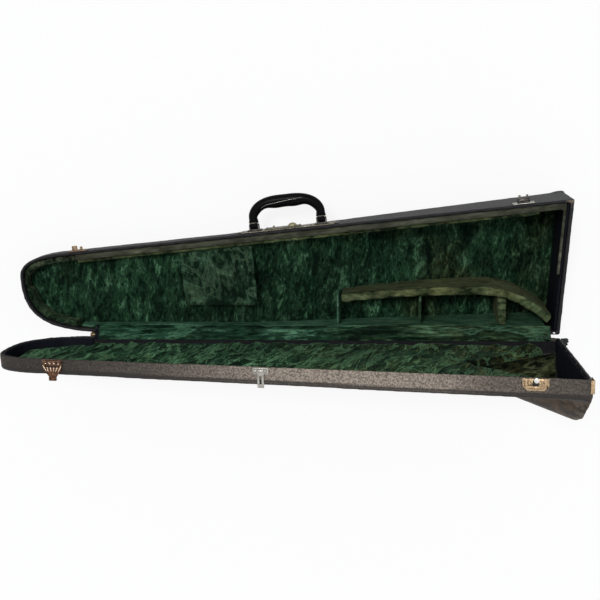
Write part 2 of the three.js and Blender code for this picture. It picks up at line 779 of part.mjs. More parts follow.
const gripFoot = handleEndReach + gap;
const gripLine = new THREE.CatmullRomCurve3(gripAlongShares.map((share, index) => new THREE.Vector3(
  handlePlace + share * handleSpan / 2, gripFoot + gripRiseShares[index] * (gripReach - gripFoot),
  -handleDrop)));
const gripSections = [];
for (let step = 0; step <= gripRings; step += 1) {
  const share = step / gripRings;
  const centre = gripLine.getPointAt(share);
  const along = step === 0 ? new THREE.Vector3(0, 1, 0)
    : step === gripRings ? new THREE.Vector3(0, -1, 0) : gripLine.getTangentAt(share);
  const outward = new THREE.Vector3(-along.y, along.x, 0);
  const swell = Math.sin(Math.PI * share) ** 0.7;
  const half = gripEndHalf + (gripHalf - gripEndHalf) * swell;
  const deep = gripEndHalf + (gripDepthHalf - gripEndHalf) * swell;
  const wave = gripWave * swell * Math.cos(2 * Math.PI * gripWaves * share);
  const section = [];
  for (let side = 0; side < gripSides; side += 1) {
    const angle = 2 * Math.PI * side / gripSides;
    const reach = Math.cos(angle) * (half - (Math.cos(angle) < 0 ? wave : 0));
    section.push(centre.clone().addScaledVector(outward, reach).add(new THREE.Vector3(0, 0,
      Math.sin(angle) * deep)));
  }
  gripSections.push(section);
}
add(baseSide, 'handle_grip', skin(gripSections), 'grip');

// Lock case with its staple, and the thumb button that slides on it
const lockFace = onPlate + lockThick;
const lockStart = lockPlace - lockLength / 2;
const stapleMiddle = centreHaspRise - (strapSlotStart + strapSlotLength / 2);
const buttonSlot = buttonStem / 2 + gap;
const buttonLevel = -lockTop - lockHeight / 2;
const lockCase = join(box(lockStart, lockStart + lockLength, onPlate, lockFace, -lockTop - lockHeight,
  -lockTop),
  box(staplePlace - stapleWidth / 2, staplePlace + stapleWidth / 2, onPlate, stapleReach,
    stapleMiddle - stapleHeight / 2, stapleMiddle + stapleHeight / 2))
  .subtract(box(buttonPlace - buttonSlot, buttonPlace + buttonSlot + buttonTravel, 0, lockFace + cut,
    buttonLevel - buttonSlot, buttonLevel + buttonSlot));
add(baseSide, 'lock_case', lockCase, 'brass');

function dome(radius, rise) {
  const points = [new THREE.Vector2(0, 0)];
  for (let step = 0; step <= curveSteps / 2; step += 1) {
    const angle = Math.PI * step / curveSteps;
    points.push(new THREE.Vector2(radius * Math.cos(angle), rise * Math.sin(angle)));
  }
  points[points.length - 1].x = 0;
  return new THREE.LatheGeometry(points, 20);
}

const buttonFace = lockFace + gap;
const button = solid(dome(buttonRadius, buttonRise).translate(buttonPlace, buttonFace, buttonLevel))
  .add(box(buttonPlace - buttonStem / 2, buttonPlace + buttonStem / 2, onPlate, buttonFace + gap,
    buttonLevel - buttonStem / 2, buttonLevel + buttonStem / 2));
add(baseSide, 'lock_thumb_slide', button, 'brass');

// A hasp: plate with two knuckles, pin, and the leaf that folds back over the plate
function haspPlate(place, width, rise, drop, height, knuckleWidth, leafWidth) {
  let body = upright(rectangle(place - width / 2, place + width / 2, drop, drop + height), onWall,
    onWall + plate);
  for (const from of [place - leafWidth / 2 - gap - knuckleWidth, place + leafWidth / 2 + gap]) {
    body = join(body, rodAlong(from, from + knuckleWidth, haspReach, rise, haspBarrel),
      box(from, from + knuckleWidth, onWall, haspReach, rise - haspBarrel, rise + haspBarrel));
  }
  return body.subtract(rodAlong(place - width, place + width, haspReach, rise, haspPin + gap));
}

const haspKnuckle = (place, width, rise) => rodAlong(place - width / 2, place + width / 2, haspReach,
  rise, haspBarrel)
  .add(box(place - width / 2, place + width / 2, onPlate, onPlate + plate, rise, rise + haspBarrel + cut))
  .subtract(rodAlong(place - width, place + width, haspReach, rise, haspPin + gap));

add(lidSide, 'centre_hasp_plate', haspPlate(staplePlace, centrePlateWidth, centreHaspRise, centrePlateDrop,
  centrePlateHeight, centreKnuckle, strapWidth), 'nickel');
add(lidSide, 'centre_hasp_pin', rodAlong(staplePlace - strapWidth / 2 - gap - centreKnuckle,
  staplePlace + strapWidth / 2 + gap + centreKnuckle, haspReach, centreHaspRise, haspPin), 'iron');
const strapSlot = rectangle(staplePlace - strapSlotWidth / 2, staplePlace + strapSlotWidth / 2,
  centreHaspRise + strapSlotStart, centreHaspRise + strapSlotStart + strapSlotLength);
const strap = haspKnuckle(staplePlace, strapWidth, centreHaspRise)
  .add(upright(rectangle(staplePlace - strapWidth / 2, staplePlace + strapWidth / 2,
    centreHaspRise + haspBarrel, centreHaspRise + strapLength), onPlate, onPlate + plate,
    [strapSlot.reverse()]));
add(lidSide, 'centre_hasp_strap', strap, 'nickel');

// Left hasp: a fan that narrows to a turned foot, with a slot for the catch
const leftNeck = leftPlateWidth - 2 * leftKnuckle - 4 * gap;
add(lidSide, 'left_hasp_plate', haspPlate(leftPlace, leftPlateWidth, leftHaspRise, rimGap + gap,
  leftPlateHeight, leftKnuckle, leftNeck), 'brass');
add(lidSide, 'left_hasp_pin', rodAlong(leftPlace - leftPlateWidth / 2 + gap,
  leftPlace + leftPlateWidth / 2 - gap, haspReach, leftHaspRise, haspPin), 'iron');
const armTop = leftHaspRise + armShoulder;
const armEnd = leftHaspRise + armLength;
const armWaist = armTop + armSlotHeight + armSlotStart;
const armPlan = [[-armTopWidth / 2, armTop], [armTopWidth / 2, armTop], [armTopWidth / 2, armWaist],
  [armFootWidth / 2, armEnd], [-armFootWidth / 2, armEnd], [-armTopWidth / 2, armWaist]]
  .map(([x, z]) => new THREE.Vector2(x + leftPlace, z));
const armSlot = rectangle(leftPlace - armSlotWidth / 2, leftPlace + armSlotWidth / 2,
  leftHaspRise + armSlotStart, leftHaspRise + armSlotStart + armSlotHeight);
let arm = haspKnuckle(leftPlace, leftNeck, leftHaspRise)
  .add(upright(armPlan, onPlate, onPlate + plate, [armSlot.reverse()]))
  .add(box(leftPlace - armFootWidth / 2, leftPlace + armFootWidth / 2, onPlate, onPlate + footThick,
    armEnd - cut, armEnd + footLength));
for (const side of [-1, 0, 1]) {
  const foot = leftPlace + side * armFootWidth / 4;
  const head = leftPlace + side * armTopWidth / 4;
  const rib = [[head - armRib, armWaist], [head + armRib, armWaist], [foot + armRib, armEnd],
    [foot - armRib, armEnd]].map(([x, z]) => new THREE.Vector2(x, z));
  arm = arm.add(upright(rib, onPlate, onPlate + plate + armRib));
}
add(lidSide, 'left_hasp_arm', arm, 'brass');

const catchStart = leftPlace + catchShift - catchWidth / 2;
const catchPlate = upright(rectangle(catchStart, catchStart + catchWidth, -catchDrop - catchHeight,
  -catchDrop), onWall, onWall + plate);
add(baseSide, 'left_catch_plate', catchPlate, 'brass');
const barStart = catchStart + catchBarStart;
const barEnd = barStart + catchBarLength;
const barFace = [-catchBarDrop - catchBarHeight, -catchBarDrop];
add(baseSide, 'left_catch_staple', join(box(barStart, barEnd, onPlate, onPlate + plate, ...barFace),
  box(barStart, barStart + catchTallWidth, onPlate, catchTallReach, ...barFace),
  box(barEnd - catchShortWidth, barEnd, onPlate, catchShortReach, ...barFace)), 'iron');

// Right latch: housing and fork on the base, strike plate and knob on the lid
add(baseSide, 'right_latch_plate', upright(rectangle(rightPlace - latchPlateWidth / 2,
  rightPlace + latchPlateWidth / 2, -latchPlateDrop - latchPlateHeight, -latchPlateDrop), onWall,
  onWall + plate), 'nickel');
const cheekInner = housingWidth / 2 - housingCheek;
let housing = box(rightPlace - housingWidth / 2, rightPlace + housingWidth / 2, onPlate,
  onPlate + housingCheek / 2, -latchPlateDrop - housingHeight, -latchPlateDrop);
for (const from of [rightPlace - housingWidth / 2, rightPlace + cheekInner]) {
  housing = housing.add(box(from, from + housingCheek, onPlate, housingReach, -latchPlateDrop - housingHeight,
    -latchPlateDrop));
}
const leverHole = rodAlong(rightPlace - housingWidth, rightPlace + housingWidth, leverReach, -leverDrop,
  leverPin + gap);
add(baseSide, 'right_latch_housing', housing.subtract(leverHole), 'iron');
add(baseSide, 'right_latch_pin', rodAlong(rightPlace - housingWidth / 2, rightPlace + housingWidth / 2,
  leverReach, -leverDrop, leverPin), 'iron');
const leverHalf = cheekInner - gap;
const leverEnd = leverReach + leverLength;
const lever = rodAlong(rightPlace - leverHalf, rightPlace + leverHalf, leverReach, -leverDrop, leverBarrel)
  .add(box(rightPlace - leverHalf, rightPlace + leverHalf, leverReach, leverEnd,
    -leverDrop - leverThick / 2, -leverDrop + leverThick / 2))
  .subtract(box(rightPlace - leverSlotWidth / 2, rightPlace + leverSlotWidth / 2, leverEnd - leverSlotLength,
    leverEnd + cut, -leverDrop - leverThick, -leverDrop + leverThick))
  .subtract(leverHole);
add(baseSide, 'right_latch_lever', lever, 'nickel');

const strikeHalf = strikeWidth / 2;
const strikeEnd = strikeRise + strikeHeight;
const strikePoints = [[-strikeHalf, strikeRise], [strikeHalf, strikeRise],
  [strikeHalf, strikeEnd - strikeChamfer], [strikeHalf - strikeChamfer, strikeEnd],
  [-strikeHalf + strikeChamfer, strikeEnd], [-strikeHalf, strikeEnd - strikeChamfer]]
  .map(([x, z]) => new THREE.Vector2(x + strikePlace, z));
const ridgeHalf = strikeHalf - strikeRidgeInset;
const ridgeEnd = strikeEnd - strikeRidgeInset;
const ridge = upright(rectangle(strikePlace - ridgeHalf, strikePlace + ridgeHalf, strikeRise, ridgeEnd),
  onWall, onWall + plate + strikeRidge)
  .subtract(upright(rectangle(strikePlace - ridgeHalf + strikeRidgeWidth,
    strikePlace + ridgeHalf - strikeRidgeWidth, strikeRise - cut, ridgeEnd - strikeRidgeWidth),
    onWall + plate, onWall + plate + 2 * strikeRidge));
add(lidSide, 'right_strike_plate', upright(strikePoints, onWall, onWall + plate).add(ridge), 'brass');
add(lidSide, 'right_strike_knob', rodOut(rightPlace, onPlate, knobNeckReach + gap, knobRise, knobNeck)
  .add(rodOut(rightPlace, knobNeckReach, knobNeckReach + knobHeadThick, knobRise, knobHead)), 'nickel');

// Corner plate
const cornerRing = ring(-gap - cornerThick, -gap, rimGap + gap, cornerHeight)
  .intersect(box(farCorner - cornerShortLeg, farCorner + beyond, bellEndWidth - cornerLeg,
    bellEndWidth + beyond, 0, cornerHeight + cut));
add(lid, 'end_corner_plate', cornerRing, 'brass');

// The open case rests on the tip's bottom edge and on the bell end's two bottom corners
const rests = [new THREE.Vector3(0, tipMiddle, -baseTipDepth),
  new THREE.Vector3(hingeLength, 0, -baseDepthAt(hingeLength)),
  new THREE.Vector3(farCorner, bellEndWidth, -baseBellDepth)];
const upward = new THREE.Plane().setFromCoplanarPoints(...rests).normal;
stand.quaternion.setFromUnitVectors(upward, new THREE.Vector3(0, 0, 1));

const group = new THREE.Group();
group.name = 'trombone_case';
group.add(stand);
group.updateMatrixWorld(true);
const bounds = new THREE.Box3().setFromObject(group, true);
const middle = bounds.getCenter(new THREE.Vector3());
stand.position.set(-middle.x, -middle.y, -bounds.min.z);

export default group;
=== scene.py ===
import math

import bmesh
import bpy
import numpy as np
from mathutils import Matrix, Vector, noise
from mathutils.bvhtree import BVHTree


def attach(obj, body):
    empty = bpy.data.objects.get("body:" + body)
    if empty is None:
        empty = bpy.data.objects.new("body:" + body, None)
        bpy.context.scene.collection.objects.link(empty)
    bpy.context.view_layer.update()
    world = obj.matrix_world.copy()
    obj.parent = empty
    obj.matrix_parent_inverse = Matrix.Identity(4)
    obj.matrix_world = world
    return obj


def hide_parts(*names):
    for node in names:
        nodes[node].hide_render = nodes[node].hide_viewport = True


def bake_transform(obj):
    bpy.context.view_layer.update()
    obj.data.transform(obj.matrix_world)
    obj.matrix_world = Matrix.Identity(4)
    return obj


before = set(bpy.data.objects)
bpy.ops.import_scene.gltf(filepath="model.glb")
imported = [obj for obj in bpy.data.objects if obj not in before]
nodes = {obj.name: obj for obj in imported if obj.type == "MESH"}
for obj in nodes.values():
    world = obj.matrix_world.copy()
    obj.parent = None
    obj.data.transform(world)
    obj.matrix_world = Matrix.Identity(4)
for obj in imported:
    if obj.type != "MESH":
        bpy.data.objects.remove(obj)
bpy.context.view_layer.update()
scene = bpy.context.scene
MM = 0.001
PHOTO_SIDE = 600  # pixels

# The case's own frame (x from tip to bell end, y from hinge to handle, z up from the base's rim), placed in the
# frame of the pack, and the lid's frame, which is the same one turned back about the hinges
BASE = Matrix(((0.994817, -0.000296, -0.101677, -0.465243),
               (-0.000296, 0.999983, -0.005809, -0.065114),
               (0.101677, 0.005809, 0.994800, 0.037227), (0, 0, 0, 1)))
LID = Matrix(((0.994817, -0.101605, 0.003844, -0.465599),
              (-0.000296, -0.040705, -0.999171, -0.068146),
              (0.101677, 0.993992, -0.040524, 0.040700), (0, 0, 0, 1)))
HINGE_LENGTH, END_WIDTH, TIP_WIDTH = 0.915, 0.223, 0.13165
END_LEAN = 0.077
FAR = HINGE_LENGTH + END_LEAN * END_WIDTH
TAPER = (END_WIDTH - TIP_WIDTH) / FAR
OPEN_ANGLE = math.radians(92)
HINGE_AXIS_Y, HINGE_AXIS_Z = -0.0032, 0.0003
BASE_TIP_DEPTH, BASE_DEEPENING, DEPTH_KNEE = 0.038, 0.096, 0.393
LID_TIP_DEPTH, LID_DEEPENING = 0.027, 0.007
HASP_PLACE = 0.104
HANDLE_MIDDLE = 0.470
HANDLE_PLATE_MIDDLE = 0.5137 * 915  # millimetres along the handle side
PLATE_FACE, LOCK_FACE = 0.0019, 0.0041  # out from the wall's face
HANDLE_FOOT_REACH = 57  # millimetres from the plate's middle to either end of the handle
SKY, KEY, FILL, FLOOR_LIFT = 0.55, 1.35, 0.35, 0.86


def side_frame(case):
    """The handle-side wall's frame: x along the wall, y out of it, z up."""
    turn = Matrix.Rotation(math.atan(TAPER), 4, "Z")
    return case @ Matrix.Translation((0, TIP_WIDTH, 0)) @ turn


BASE_SIDE, LID_SIDE = side_frame(BASE), side_frame(LID)


def base_depth(x):
    return BASE_TIP_DEPTH + BASE_DEEPENING * np.maximum(0, x - DEPTH_KNEE) / (FAR - DEPTH_KNEE)


def lid_depth(x):
    return LID_TIP_DEPTH + LID_DEEPENING * x / FAR


# ---------------------------------------------------------------- camera, floor, light
camera_data = bpy.data.cameras.new("camera")
camera_data.sensor_width = 36
camera_data.lens = 60
camera = bpy.data.objects.new("camera", camera_data)
scene.collection.objects.link(camera)
scene.camera = camera
# The camera's place and aim in the case's frame, fitted to the outlines of the photograph
eye = BASE @ Vector((0.6805, 0.3971, 1.6340))
ahead = BASE.to_3x3() @ Vector((-0.11556, -0.20282, -0.97237)).normalized()
up = BASE.to_3x3() @ Vector((-0.00056, 0.97894, -0.20413))
up = (up - ahead * up.dot(ahead)).normalized()
right = ahead.cross(up)
camera.matrix_world = Matrix(((right.x, up.x, -ahead.x, eye.x), (right.y, up.y, -ahead.y, eye.y),
                              (right.z, up.z, -ahead.z, eye.z), (0, 0, 0, 1)))
camera_data.clip_start, camera_data.clip_end = 0.01, 50
camera_data.shift_x, camera_data.shift_y = 0.2 / PHOTO_SIDE, 1.1 / PHOTO_SIDE
scene.view_settings.view_transform = "Standard"


class Net:
    """A short way to write a material's nodes."""

    def __init__(self, name, world=False):
        self.owner = bpy.data.worlds.new(name) if world else bpy.data.materials.new(name)
        self.owner.use_nodes = True
        self.tree = self.owner.node_tree
        self.tree.nodes.clear()
        kind = "ShaderNodeOutputWorld" if world else "ShaderNodeOutputMaterial"
        self.out = self.tree.nodes.new(kind)

    def node(self, kind, **inputs):
        made = self.tree.nodes.new("ShaderNode" + kind)
        for key, value in inputs.items():
            key = key.replace("_", " ")
            if key in made.inputs:
                self.put(made.inputs[key], value)
            else:
                setattr(made, key.replace(" ", "_"), value)
        return made

    def put(self, socket, value):
        if isinstance(value, bpy.types.NodeSocket):
            self.tree.links.new(value, socket)
        elif isinstance(value, (tuple, list)) and len(value) == 3 and socket.type == "RGBA":
            socket.default_value = (*value, 1)
        else:
            socket.default_value = value

    def math(self, operation, a, b=0.0, c=0.0, clamp=False):
        made = self.node("Math", operation=operation, use_clamp=clamp)
        for socket, value in zip(made.inputs, (a, b, c)):
            self.put(socket, value)
        return made.outputs[0]

    def mix(self, share, a, b, blend="MIX"):
        made = self.node("Mix", data_type="RGBA", blend_type=blend)
        self.put(made.inputs[0], share)
        self.put(made.inputs[6], a)
        self.put(made.inputs[7], b)
        return made.outputs[2]

    def ramp(self, value, *stops, easing="LINEAR"):
        made = self.node("ValToRGB")
        made.color_ramp.interpolation = easing
        while len(made.color_ramp.elements) < len(stops):
            made.color_ramp.elements.new(0.5)
        for element, (place, colour) in zip(made.color_ramp.elements, stops):
            element.position = place
            element.color = (*colour, 1) if isinstance(colour, tuple) else (colour,) * 3 + (1,)
        self.put(made.inputs[0], value)
        return made.outputs[0]

    def place(self, scale=(1, 1, 1), turn=(0, 0, 0), kind="POINT"):
        made = self.node("Mapping", vector_type=kind)
        self.put(made.inputs["Vector"], self.node("TexCoord").outputs["Object"])
        made.inputs["Scale"].default_value = scale
        made.inputs["Rotation"].default_value = turn
        return made.outputs[0]

    def noise(self, scale, detail=3.0, rough=0.55, vector=None, warp=0.0):
        made = self.node("TexNoise", Scale=scale, Detail=detail, Roughness=rough, Distortion=warp)
        self.put(made.inputs["Vector"], vector or self.place())
        return made.outputs["Fac"]

    def cells(self, scale):
        made = self.node("TexVoronoi", feature="F1", Scale=scale, Randomness=1.0)
        self.put(made.inputs["Vector"], self.place())
        return made.outputs["Distance"]

    def bump(self, height, distance, strength=1.0, under=None):
        made = self.node("Bump", Strength=strength, Distance=distance, Height=height)
        if under is not None:
            self.put(made.inputs["Normal"], under)
        return made.outputs[0]

    def surface(self, **inputs):
        shader = self.node("BsdfPrincipled")
        for key, value in inputs.items():
            self.put(shader.inputs[key.replace("_", " ")], value)
        self.tree.links.new(shader.outputs[0], self.out.inputs[0])
        return self.owner


def seen_directly(net):
    """1 for rays from the camera and for what gloss and glass show, 0 for light on the object."""
    path = net.node("LightPath").outputs
    bounced = net.math("MAXIMUM", path["Is Glossy Ray"], path["Is Transmission Ray"])
    return net.math("MAXIMUM", path["Is Camera Ray"], bounced)


def blended_output(net, share, first, second):
    both = net.node("MixShader")
    net.put(both.inputs[0], share)
    net.put(both.inputs[1], first.outputs[0])
    net.put(both.inputs[2], second.outputs[0])
    net.tree.links.new(both.outputs[0], net.out.inputs[0])


def make_stage():
    """White surroundings for the eye, a plain pale floor that keeps the shadow, a soft sky and two level lamps."""
    net = Net("studio", world=True)
    blended_output(net, seen_directly(net), net.node("Background", Color=(0.93, 0.96, 1.0), Strength=SKY),
                   net.node("Background", Color=(1.0, 1.0, 1.0), Strength=1.0))
    scene.world = net.owner
    net = Net("floor")
    blended_output(net, net.math("MULTIPLY", seen_directly(net), FLOOR_LIFT),
                   net.node("BsdfDiffuse", Color=(0.92, 0.92, 0.91)),
                   net.node("Emission", Color=(1.0, 1.0, 1.0), Strength=1.0))
    mesh = bpy.data.meshes.new("floor")
    half = 12.0
    mesh.from_pydata([(-half, -half, 0), (half, -half, 0), (half, half, 0), (-half, half, 0)], [], [(0, 1, 2, 3)])
    floor = bpy.data.objects.new("floor", mesh)
    floor.location.z = -0.0005
    mesh.materials.append(net.owner)
    scene.collection.objects.link(floor)
    for name, power, angle, aim in (("key", KEY, 12, (0.25, -0.32, -0.92)), ("fill", FILL, 60, (-0.5, 0.45, -0.74))):
        data = bpy.data.lights.new(name, "SUN")
        data.energy = power
        data.angle = math.radians(angle)
        lamp = bpy.data.objects.new(name, data)
        lamp.rotation_mode = "QUATERNION"
        lamp.rotation_quaternion = Vector(aim).to_track_quat("-Z", "Y")
        scene.collection.objects.link(lamp)


make_stage()


# ---------------------------------------------------------------- materials
def leatherette(name, dark, worn, scuff, front_lightness=None, lined=False):
    """Grained book cloth over thin board: fine pebbles, a soft mottle, rubbed patches, a darker rounded foot.

    Where front_lightness stops are given, they set how light the cloth is along the case. The marks foot, brown,
    painted_rim_shadow, wear and inside are laid on the mesh by shell(); painted_rim_shadow is painted shadow along
    the base's rim.
    """
    net = Net(name)
    grain = net.cells(560)
    mottle = net.noise(330, 3, 0.7)
    broad = net.noise(9, 3, 0.6, warp=0.8)
    rub = net.ramp(net.math("MULTIPLY", broad, mottle), (0.16, 0.0), (0.40, 1.0))
    colour = net.mix(net.ramp(mottle, (0.40, 0.0), (0.62, 1.0)), dark, worn)
    colour = net.mix(net.math("MULTIPLY", rub, scuff), colour, (0.19, 0.135, 0.095))
    # The front_lightness stops scale the colour along the case.
    if front_lightness:
        along = net.node("SeparateXYZ")
        net.put(along.inputs[0], net.node("TexCoord").outputs["Object"])
        share = net.math("ADD", along.outputs[0], 0.5)
        share = net.math("ADD", share, net.math("MULTIPLY", net.math("SUBTRACT", broad, 0.5), 0.06))
        colour = net.mix(1.0, colour, net.ramp(share, *front_lightness), "MULTIPLY")
    foot = net.node("Attribute", attribute_name="foot").outputs["Fac"]
    colour = net.mix(net.math("MULTIPLY", foot, 0.9), colour, (0.020, 0.0175, 0.0165))
    brown = net.node("Attribute", attribute_name="brown").outputs["Fac"]
    old = net.mix(net.ramp(net.noise(38, 5, 0.7, warp=0.7), (0.42, 0.0), (0.68, 1.0)), (0.012, 0.0072, 0.0038),
                  (0.112, 0.070, 0.037))
    colour = net.mix(brown, colour, old)
    pits = net.ramp(grain, (0.0, 0.42), (0.6, 1.0))
    colour = net.mix(0.65, colour, pits, "MULTIPLY")
    # Painted shadow: the base's rim faces are darkened nearly to black, for the shade along the rim's inner edge.
    edge = net.node("Attribute", attribute_name="painted_rim_shadow").outputs["Fac"]
    colour = net.mix(net.math("MULTIPLY", edge, 0.85), colour, (0.005, 0.005, 0.007))
    wear = net.node("Attribute", attribute_name="wear").outputs["Fac"]
    bare = net.ramp(net.math("ADD", net.noise(70, 4, 0.7), net.math("MULTIPLY", wear, 0.35)), (0.60, 0.0), (0.76, 1.0))
    colour = net.mix(net.math("MULTIPLY", bare, wear), colour, (0.20, 0.155, 0.115))
    if lined:
        inside = net.node("Attribute", attribute_name="inside").outputs["Fac"]
        colour = net.mix(inside, colour, (0.0015, 0.0018, 0.0035))
    rough = net.ramp(mottle, (0.25, 0.50), (0.8, 0.75))
    normal = net.bump(grain, 0.0006, 0.9)
    normal = net.bump(net.noise(55, 4, 0.6), 0.0008, 0.5, normal)
    return net.surface(Base_Color=colour, Roughness=rough, Normal=normal, Specular_IOR_Level=0.24)


def velvet(name, deep, middle, bright, aged, sheen, age, lengths, crushed, streaks, shade, way=(0, 0, 0), size=1.0,
           top=False, before=None):
    """Cotton velvet: the pile leans in patches that run one way, with creases, and worn olive and brown areas.

    The nap's lengths lie along the axes after it is turned by way. age gives the worn share's slope along x and y
    and its level. top puts painted shade on the faces that look up, and before makes the cloth black up to that x.
    """
    net = Net(name)
    nap = net.place(lengths, way, "TEXTURE")
    smear = net.noise(27 / size, 5, 0.66, nap, 0.8)
    fine = net.noise(150 / size, 3, 0.6, nap)
    pile = net.noise(1300, 2, 0.6)
    broad = net.noise(9, 2, 0.5, warp=0.4)
    tone = net.math("ADD", net.math("MULTIPLY", smear, 0.64), net.math("MULTIPLY", fine, 0.36))
    fresh = net.ramp(tone, (0.42, deep), (0.52, middle), (0.64, bright), easing="EASE")
    old = net.ramp(tone, (0.42, tuple(0.4 * c for c in deep)), (0.52, aged), (0.65, tuple(2.8 * c for c in aged)))
    at = net.node("SeparateXYZ")
    net.put(at.inputs[0], net.node("TexCoord").outputs["Object"])
    share = net.math("MULTIPLY", net.math("SUBTRACT", net.noise(6.5, 3, 0.6, warp=0.6), 0.5), 2.6)
    for axis in (0, 1):
        share = net.math("ADD", share, net.math("MULTIPLY", at.outputs[axis], age[axis]))
    share = net.math("ADD", share, age[2], clamp=True)
    colour = net.mix(net.math("MULTIPLY", share, 0.85), fresh, old)
    # Painted highlights along the fold crests and painted shade along the fold valleys.
    fold = net.noise(17 / size, 5, 0.64, nap, 0.6)
    crest_highlight = net.ramp(net.math("ABSOLUTE", net.math("SUBTRACT", fold, 0.52)), (0.0, 1.0), (0.035, 0.0))
    valley_shade = net.ramp(net.math("ABSOLUTE", net.math("SUBTRACT", fold, 0.46)), (0.0, 1.0), (0.040, 0.0))
    colour = net.mix(net.math("MULTIPLY", crest_highlight, streaks), colour, bright)
    colour = net.mix(net.math("MULTIPLY", valley_shade, min(1.0, 1.5 * streaks)), colour, tuple(0.5 * c for c in deep))
    gain = net.math("MULTIPLY_ADD", broad, 5.0 * shade, 1.0 - 2.5 * shade)
    colour = net.mix(1.0, colour, net.math("MAXIMUM", gain, 0.25), "MULTIPLY")
    # Painted shade: faces that look up are darkened.
    if top:
        up = net.node("Attribute", attribute_name="top").outputs["Fac"]
        colour = net.mix(up, net.mix(1.0, colour, (0.30, 0.36, 0.36), "MULTIPLY"), colour)
    if before is not None:
        edge = net.math("GREATER_THAN", at.outputs[0], before)
        colour = net.mix(edge, (0.007, 0.007, 0.010), colour)
    colour = net.mix(0.5, colour, net.ramp(pile, (0.25, 0.40), (0.7, 1.0)), "MULTIPLY")
    normal = net.bump(pile, 0.0006, 0.7)
    normal = net.bump(fine, 0.0020 * crushed, 0.9, normal)
    normal = net.bump(smear, 0.008 * crushed, 0.7, normal)
    normal = net.bump(fold, 0.020 * streaks, 0.7, normal)
    return net.surface(Base_Color=colour, Roughness=0.95, Normal=normal, Specular_IOR_Level=0.08,
                       Sheen_Weight=0.12, Sheen_Roughness=0.35, Sheen_Tint=sheen)


def cloth_black(name):
    """Matt black lining with a fine weave."""
    net = Net(name)
    weave = net.noise(900, 2, 0.6)
    colour = net.mix(net.noise(40, 4, 0.6), (0.003, 0.0032, 0.0055), (0.010, 0.0115, 0.018))
    return net.surface(Base_Color=colour, Roughness=0.7, Normal=net.bump(weave, 0.0003, 0.6),
                       Specular_IOR_Level=0.08)


def old_metal(name, clean, tarnish, rough, worn=0.5):
    """Plated sheet gone dull: spots of tarnish, fine scratches and brighter rubbed places."""
    net = Net(name)
    blot = net.noise(160, 5, 0.7, warp=0.6)
    fine = net.noise(900, 3, 0.6, net.place((1, 6, 1)))
    share = net.ramp(net.math("ADD", blot, net.math("MULTIPLY", fine, 0.25)), (0.44, 0.0), (0.78, 1.0))
    colour = net.mix(net.math("MULTIPLY", share, worn), clean, tarnish)
    roughness = net.ramp(share, (0.0, rough), (1.0, min(1.0, rough + 0.3)))
    metal = net.ramp(share, (0.0, 1.0), (1.0, 0.72))
    normal = net.bump(net.math("ADD", blot, fine), 0.00025, 0.5)
    return net.surface(Base_Color=colour, Metallic=metal, Roughness=roughness, Normal=normal)


def fan_metal(name, clean, tarnish, bright):
    """The fan-shaped hasp: raised ribs that run together toward its foot, rubbed bright on top."""
    net = Net(name)
    rows = LID_SIDE.inverted()
    meet, low, high, ribs = 0.0360, 0.0040, 0.0200, 25.0

    def measured(row):
        made = net.node("VectorMath", operation="DOT_PRODUCT")
        net.put(made.inputs[0], net.node("TexCoord").outputs["Object"])
        made.inputs[1].default_value = row[:3]
        return net.math("ADD", made.outputs["Value"], row[3])

    across, down = measured(rows[0]), measured(rows[2])
    spread = net.math("DIVIDE", net.math("SUBTRACT", across, HASP_PLACE), net.math("SUBTRACT", meet, down))
    wave = net.math("COSINE", net.math("MULTIPLY_ADD", spread, ribs, math.pi))
    band = net.math("MULTIPLY", net.math("GREATER_THAN", down, low), net.math("LESS_THAN", down, high))
    rib = net.math("MULTIPLY", net.ramp(wave, (0.1, 0.0), (0.7, 1.0)), band)
    blot = net.noise(210, 4, 0.7, warp=0.5)
    colour = net.mix(net.ramp(blot, (0.40, 0.0), (0.66, 1.0)), clean, tarnish)
    colour = net.mix(net.math("MULTIPLY", rib, net.ramp(blot, (0.34, 1.0), (0.72, 0.45))), colour, bright)
    normal = net.bump(rib, 0.0012, 0.8, net.bump(blot, 0.0003, 0.4))
    rough = net.ramp(rib, (0.0, 0.42), (1.0, 0.26))
    return net.surface(Base_Color=colour, Metallic=0.9, Roughness=rough, Normal=normal)


def moulded(name, colour, rough):
    """Black moulded plastic, rubbed a little duller here and there."""
    net = Net(name)
    wear = net.noise(120, 4, 0.6)
    tone = net.mix(wear, colour, tuple(1.6 * c + 0.001 for c in colour))
    return net.surface(Base_Color=tone, Roughness=net.ramp(wear, (0.3, rough), (0.8, rough + 0.22)),
                       Normal=net.bump(net.noise(420, 3, 0.5), 0.0002, 0.25), Specular_IOR_Level=0.05)
